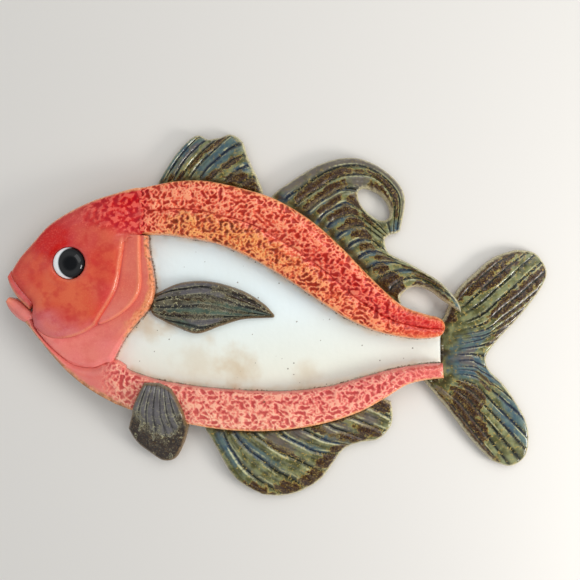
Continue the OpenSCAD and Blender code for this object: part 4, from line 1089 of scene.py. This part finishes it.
floorStains = [  # place, reach and strength of each
    ((-97, -10), 20, 0.6), ((-30, -40), 26, 0.6), ((-60, -33), 30, 0.3), ((-82, -8), 14, 0.55),
    ((20, -44), 22, 0.35), ((-52, -17), 12, 0.35)]


def makeFloorGlaze(name, stains):
    material, shader, place, parts = startMaterial(name, 0.2, {
        "Cloud Size": 40.0, "Grain Size": 1.1, "Speck Share": 0.05})
    tree = material.node_tree
    y = addNode(tree, "ShaderNodeSeparateXYZ", {"Vector": place}).outputs["Y"]
    # bluish white towards the back, a painted reflection of the sky; creamier towards the front, where the
    # glaze is stained
    colour = layered(
        srgb(230, 243, 246), (stepped(y, 20 * mm, -50 * mm), srgb(232, 233, 219)),
        (times(parts["Cloud"], 0.2), srgb(220, 222, 210)))
    wobble = noiseOf(place, 12, 3)
    for (stainX, stainY), reach, strength in stains:
        away = vectorCalc("DISTANCE", place, (stainX * mm, stainY * mm, floorTop * mm))["Value"]
        stain = stepped(plus(away, times(wobble, reach * mm)), 1.25 * reach * mm, 0.5 * reach * mm)
        colour = mixed(times(stain, strength), colour, srgb(200, 172, 130))
    away = times(masksOf(tree, "away")[0], floorStyle["reach"])
    tan = stepped(plus(away, times(wobble, 7)), 8.5, 2)
    joint = stepped(plus(away, times(minus(noiseOf(place, 1.6, 3), 0.5), 2.4)), 1, 0.3)
    here = plus(times(stepped(noiseOf(place, 6, 2), 0.36, 0.5), 0.55), 0.25)
    colour = layered(
        colour, (times(tan, 0.55), srgb(206, 170, 122)), (times(joint, here), srgb(98, 66, 42)),
        (times(parts["Specks"], 0.7), srgb(104, 92, 76)))
    return finishMaterial(material, shader, colour, 0.14)


eyeLook = dict(
    pupilAt=(-147.1, 38.0), pupil=(9.5, 10.9), values={"IOR": 1.35, "Roughness": 0.07},
    white=srgb(250, 252, 252), ring=srgb(176, 182, 186), black=srgb(19, 20, 22))


def makeEyeGlaze(name, look):
    material, shader, place = startMaterial(name, 0.03, {"Grain Size": 1.5}, look["values"])[:3]
    (x, y), (wide, high) = look["pupilAt"], look["pupil"]
    shifted = vectorCalc("ADD", place, (-x * mm, -y * mm, 0))["Vector"]
    squeezed = vectorCalc("MULTIPLY", shifted, (1000 / wide, 1000 / high, 0))["Vector"]
    away = vectorCalc("LENGTH", squeezed)["Value"]
    white = mixed(stepped(away, 1.12, 1), look["white"], look["ring"])
    colour = mixed(stepped(away, 1.03, 0.97), white, look["black"])
    joinAll(material.node_tree, {"Base Color": colour}, shader)
    return material


print("materials")
glazes = [
    ("back_glaze", makeRedGlaze, backLook), ("belly_glaze", makeRedGlaze, bellyLook),
    ("head_glaze", makeRedGlaze, headLook), ("gill_glaze", makeRedGlaze, gillLook),
    ("fin_glaze", makeFinGlaze, finLook), ("dark_fin_glaze", makeFinGlaze, darkFinLook),
    ("eye_glaze", makeEyeGlaze, eyeLook), ("floor_glaze", makeFloorGlaze, floorStains)]
for slotName, make, look in glazes:
    material = make(slotName, look)
    for piece in piecesOf[slotName]:
        piece.data.materials.clear()
        piece.data.materials.append(material)


# The floor, the lamps and the camera

stageStyle = dict(halfSize=3000, place=(0, 0, -0.02), colour=srgb(216, 213, 208), roughness=0.8)


def makeStage():  # a floor just clear of the underside
    bm = bmesh.new()
    bmesh.ops.create_grid(bm, x_segments=1, y_segments=1, size=stageStyle["halfSize"] * mm)
    ground = addItem("table_floor", meshOf(bm, "table_floor"), stageStyle["place"])
    values = {"Base Color": stageStyle["colour"], "Roughness": stageStyle["roughness"]}
    ground.data.materials.append(newMaterial("pale_floor", values)[0])


lampStyle = [  # name, place and target in millimetres, width, height, watts, colour
    ("window", (700, -260, 330), (0, 0, 10), 320, 180, 4.0, (1.0, 0.98, 0.95)),
    ("tall screen", (420, 420, 620), (0, 0, 0), 700, 500, 2.2, (1.0, 0.99, 0.97))]


def addLamp(name, place, target, width, height, watts, colour):
    data = bpy.data.lights.new(name, "AREA")
    data.shape, data.size, data.size_y = "RECTANGLE", width * mm, height * mm
    data.energy, data.color = watts, colour
    lamp = addItem(name, data, place)
    lamp.rotation_euler = (lamp.location - Vector(target) * mm).to_track_quat("Z", "Y").to_euler()


def makeWorld():  # pale walls, and a darker ceiling that glossy tops reflect
    world = bpy.data.worlds.new("studio")
    world.use_nodes = True
    tree = world.node_tree
    direction = addNode(tree, "ShaderNodeTexCoord").outputs["Generated"]
    height = addNode(tree, "ShaderNodeSeparateXYZ", {"Vector": direction}).outputs["Z"]
    walls = mixed(stepped(height, 0.2, 0.6), (0.5, 0.52, 0.54, 1), (0.96, 0.97, 0.98, 1))
    background = tree.nodes["Background"].inputs
    joinAll(tree, {"Color": mixed(stepped(height, 0.8, 0.95), walls, (0.12, 0.13, 0.14, 1))}, background)
    background["Strength"].default_value = 1.0
    bpy.context.scene.world = world


cameraStyle = dict(place=(8.2, 18.6, 500.0), spanAtTable=436.3)


def makeCamera():
    data = bpy.data.cameras.new("camera")
    data.lens = data.sensor_width * cameraStyle["place"][2] / cameraStyle["spanAtTable"]
    data.clip_start = 10 * mm
    bpy.context.scene.camera = addItem("camera", data, cameraStyle["place"])


print("stage")
makeStage()
for lamp in lampStyle:
    addLamp(*lamp)
makeWorld()
makeCamera()
bpy.context.scene.view_settings.view_transform = "Standard"
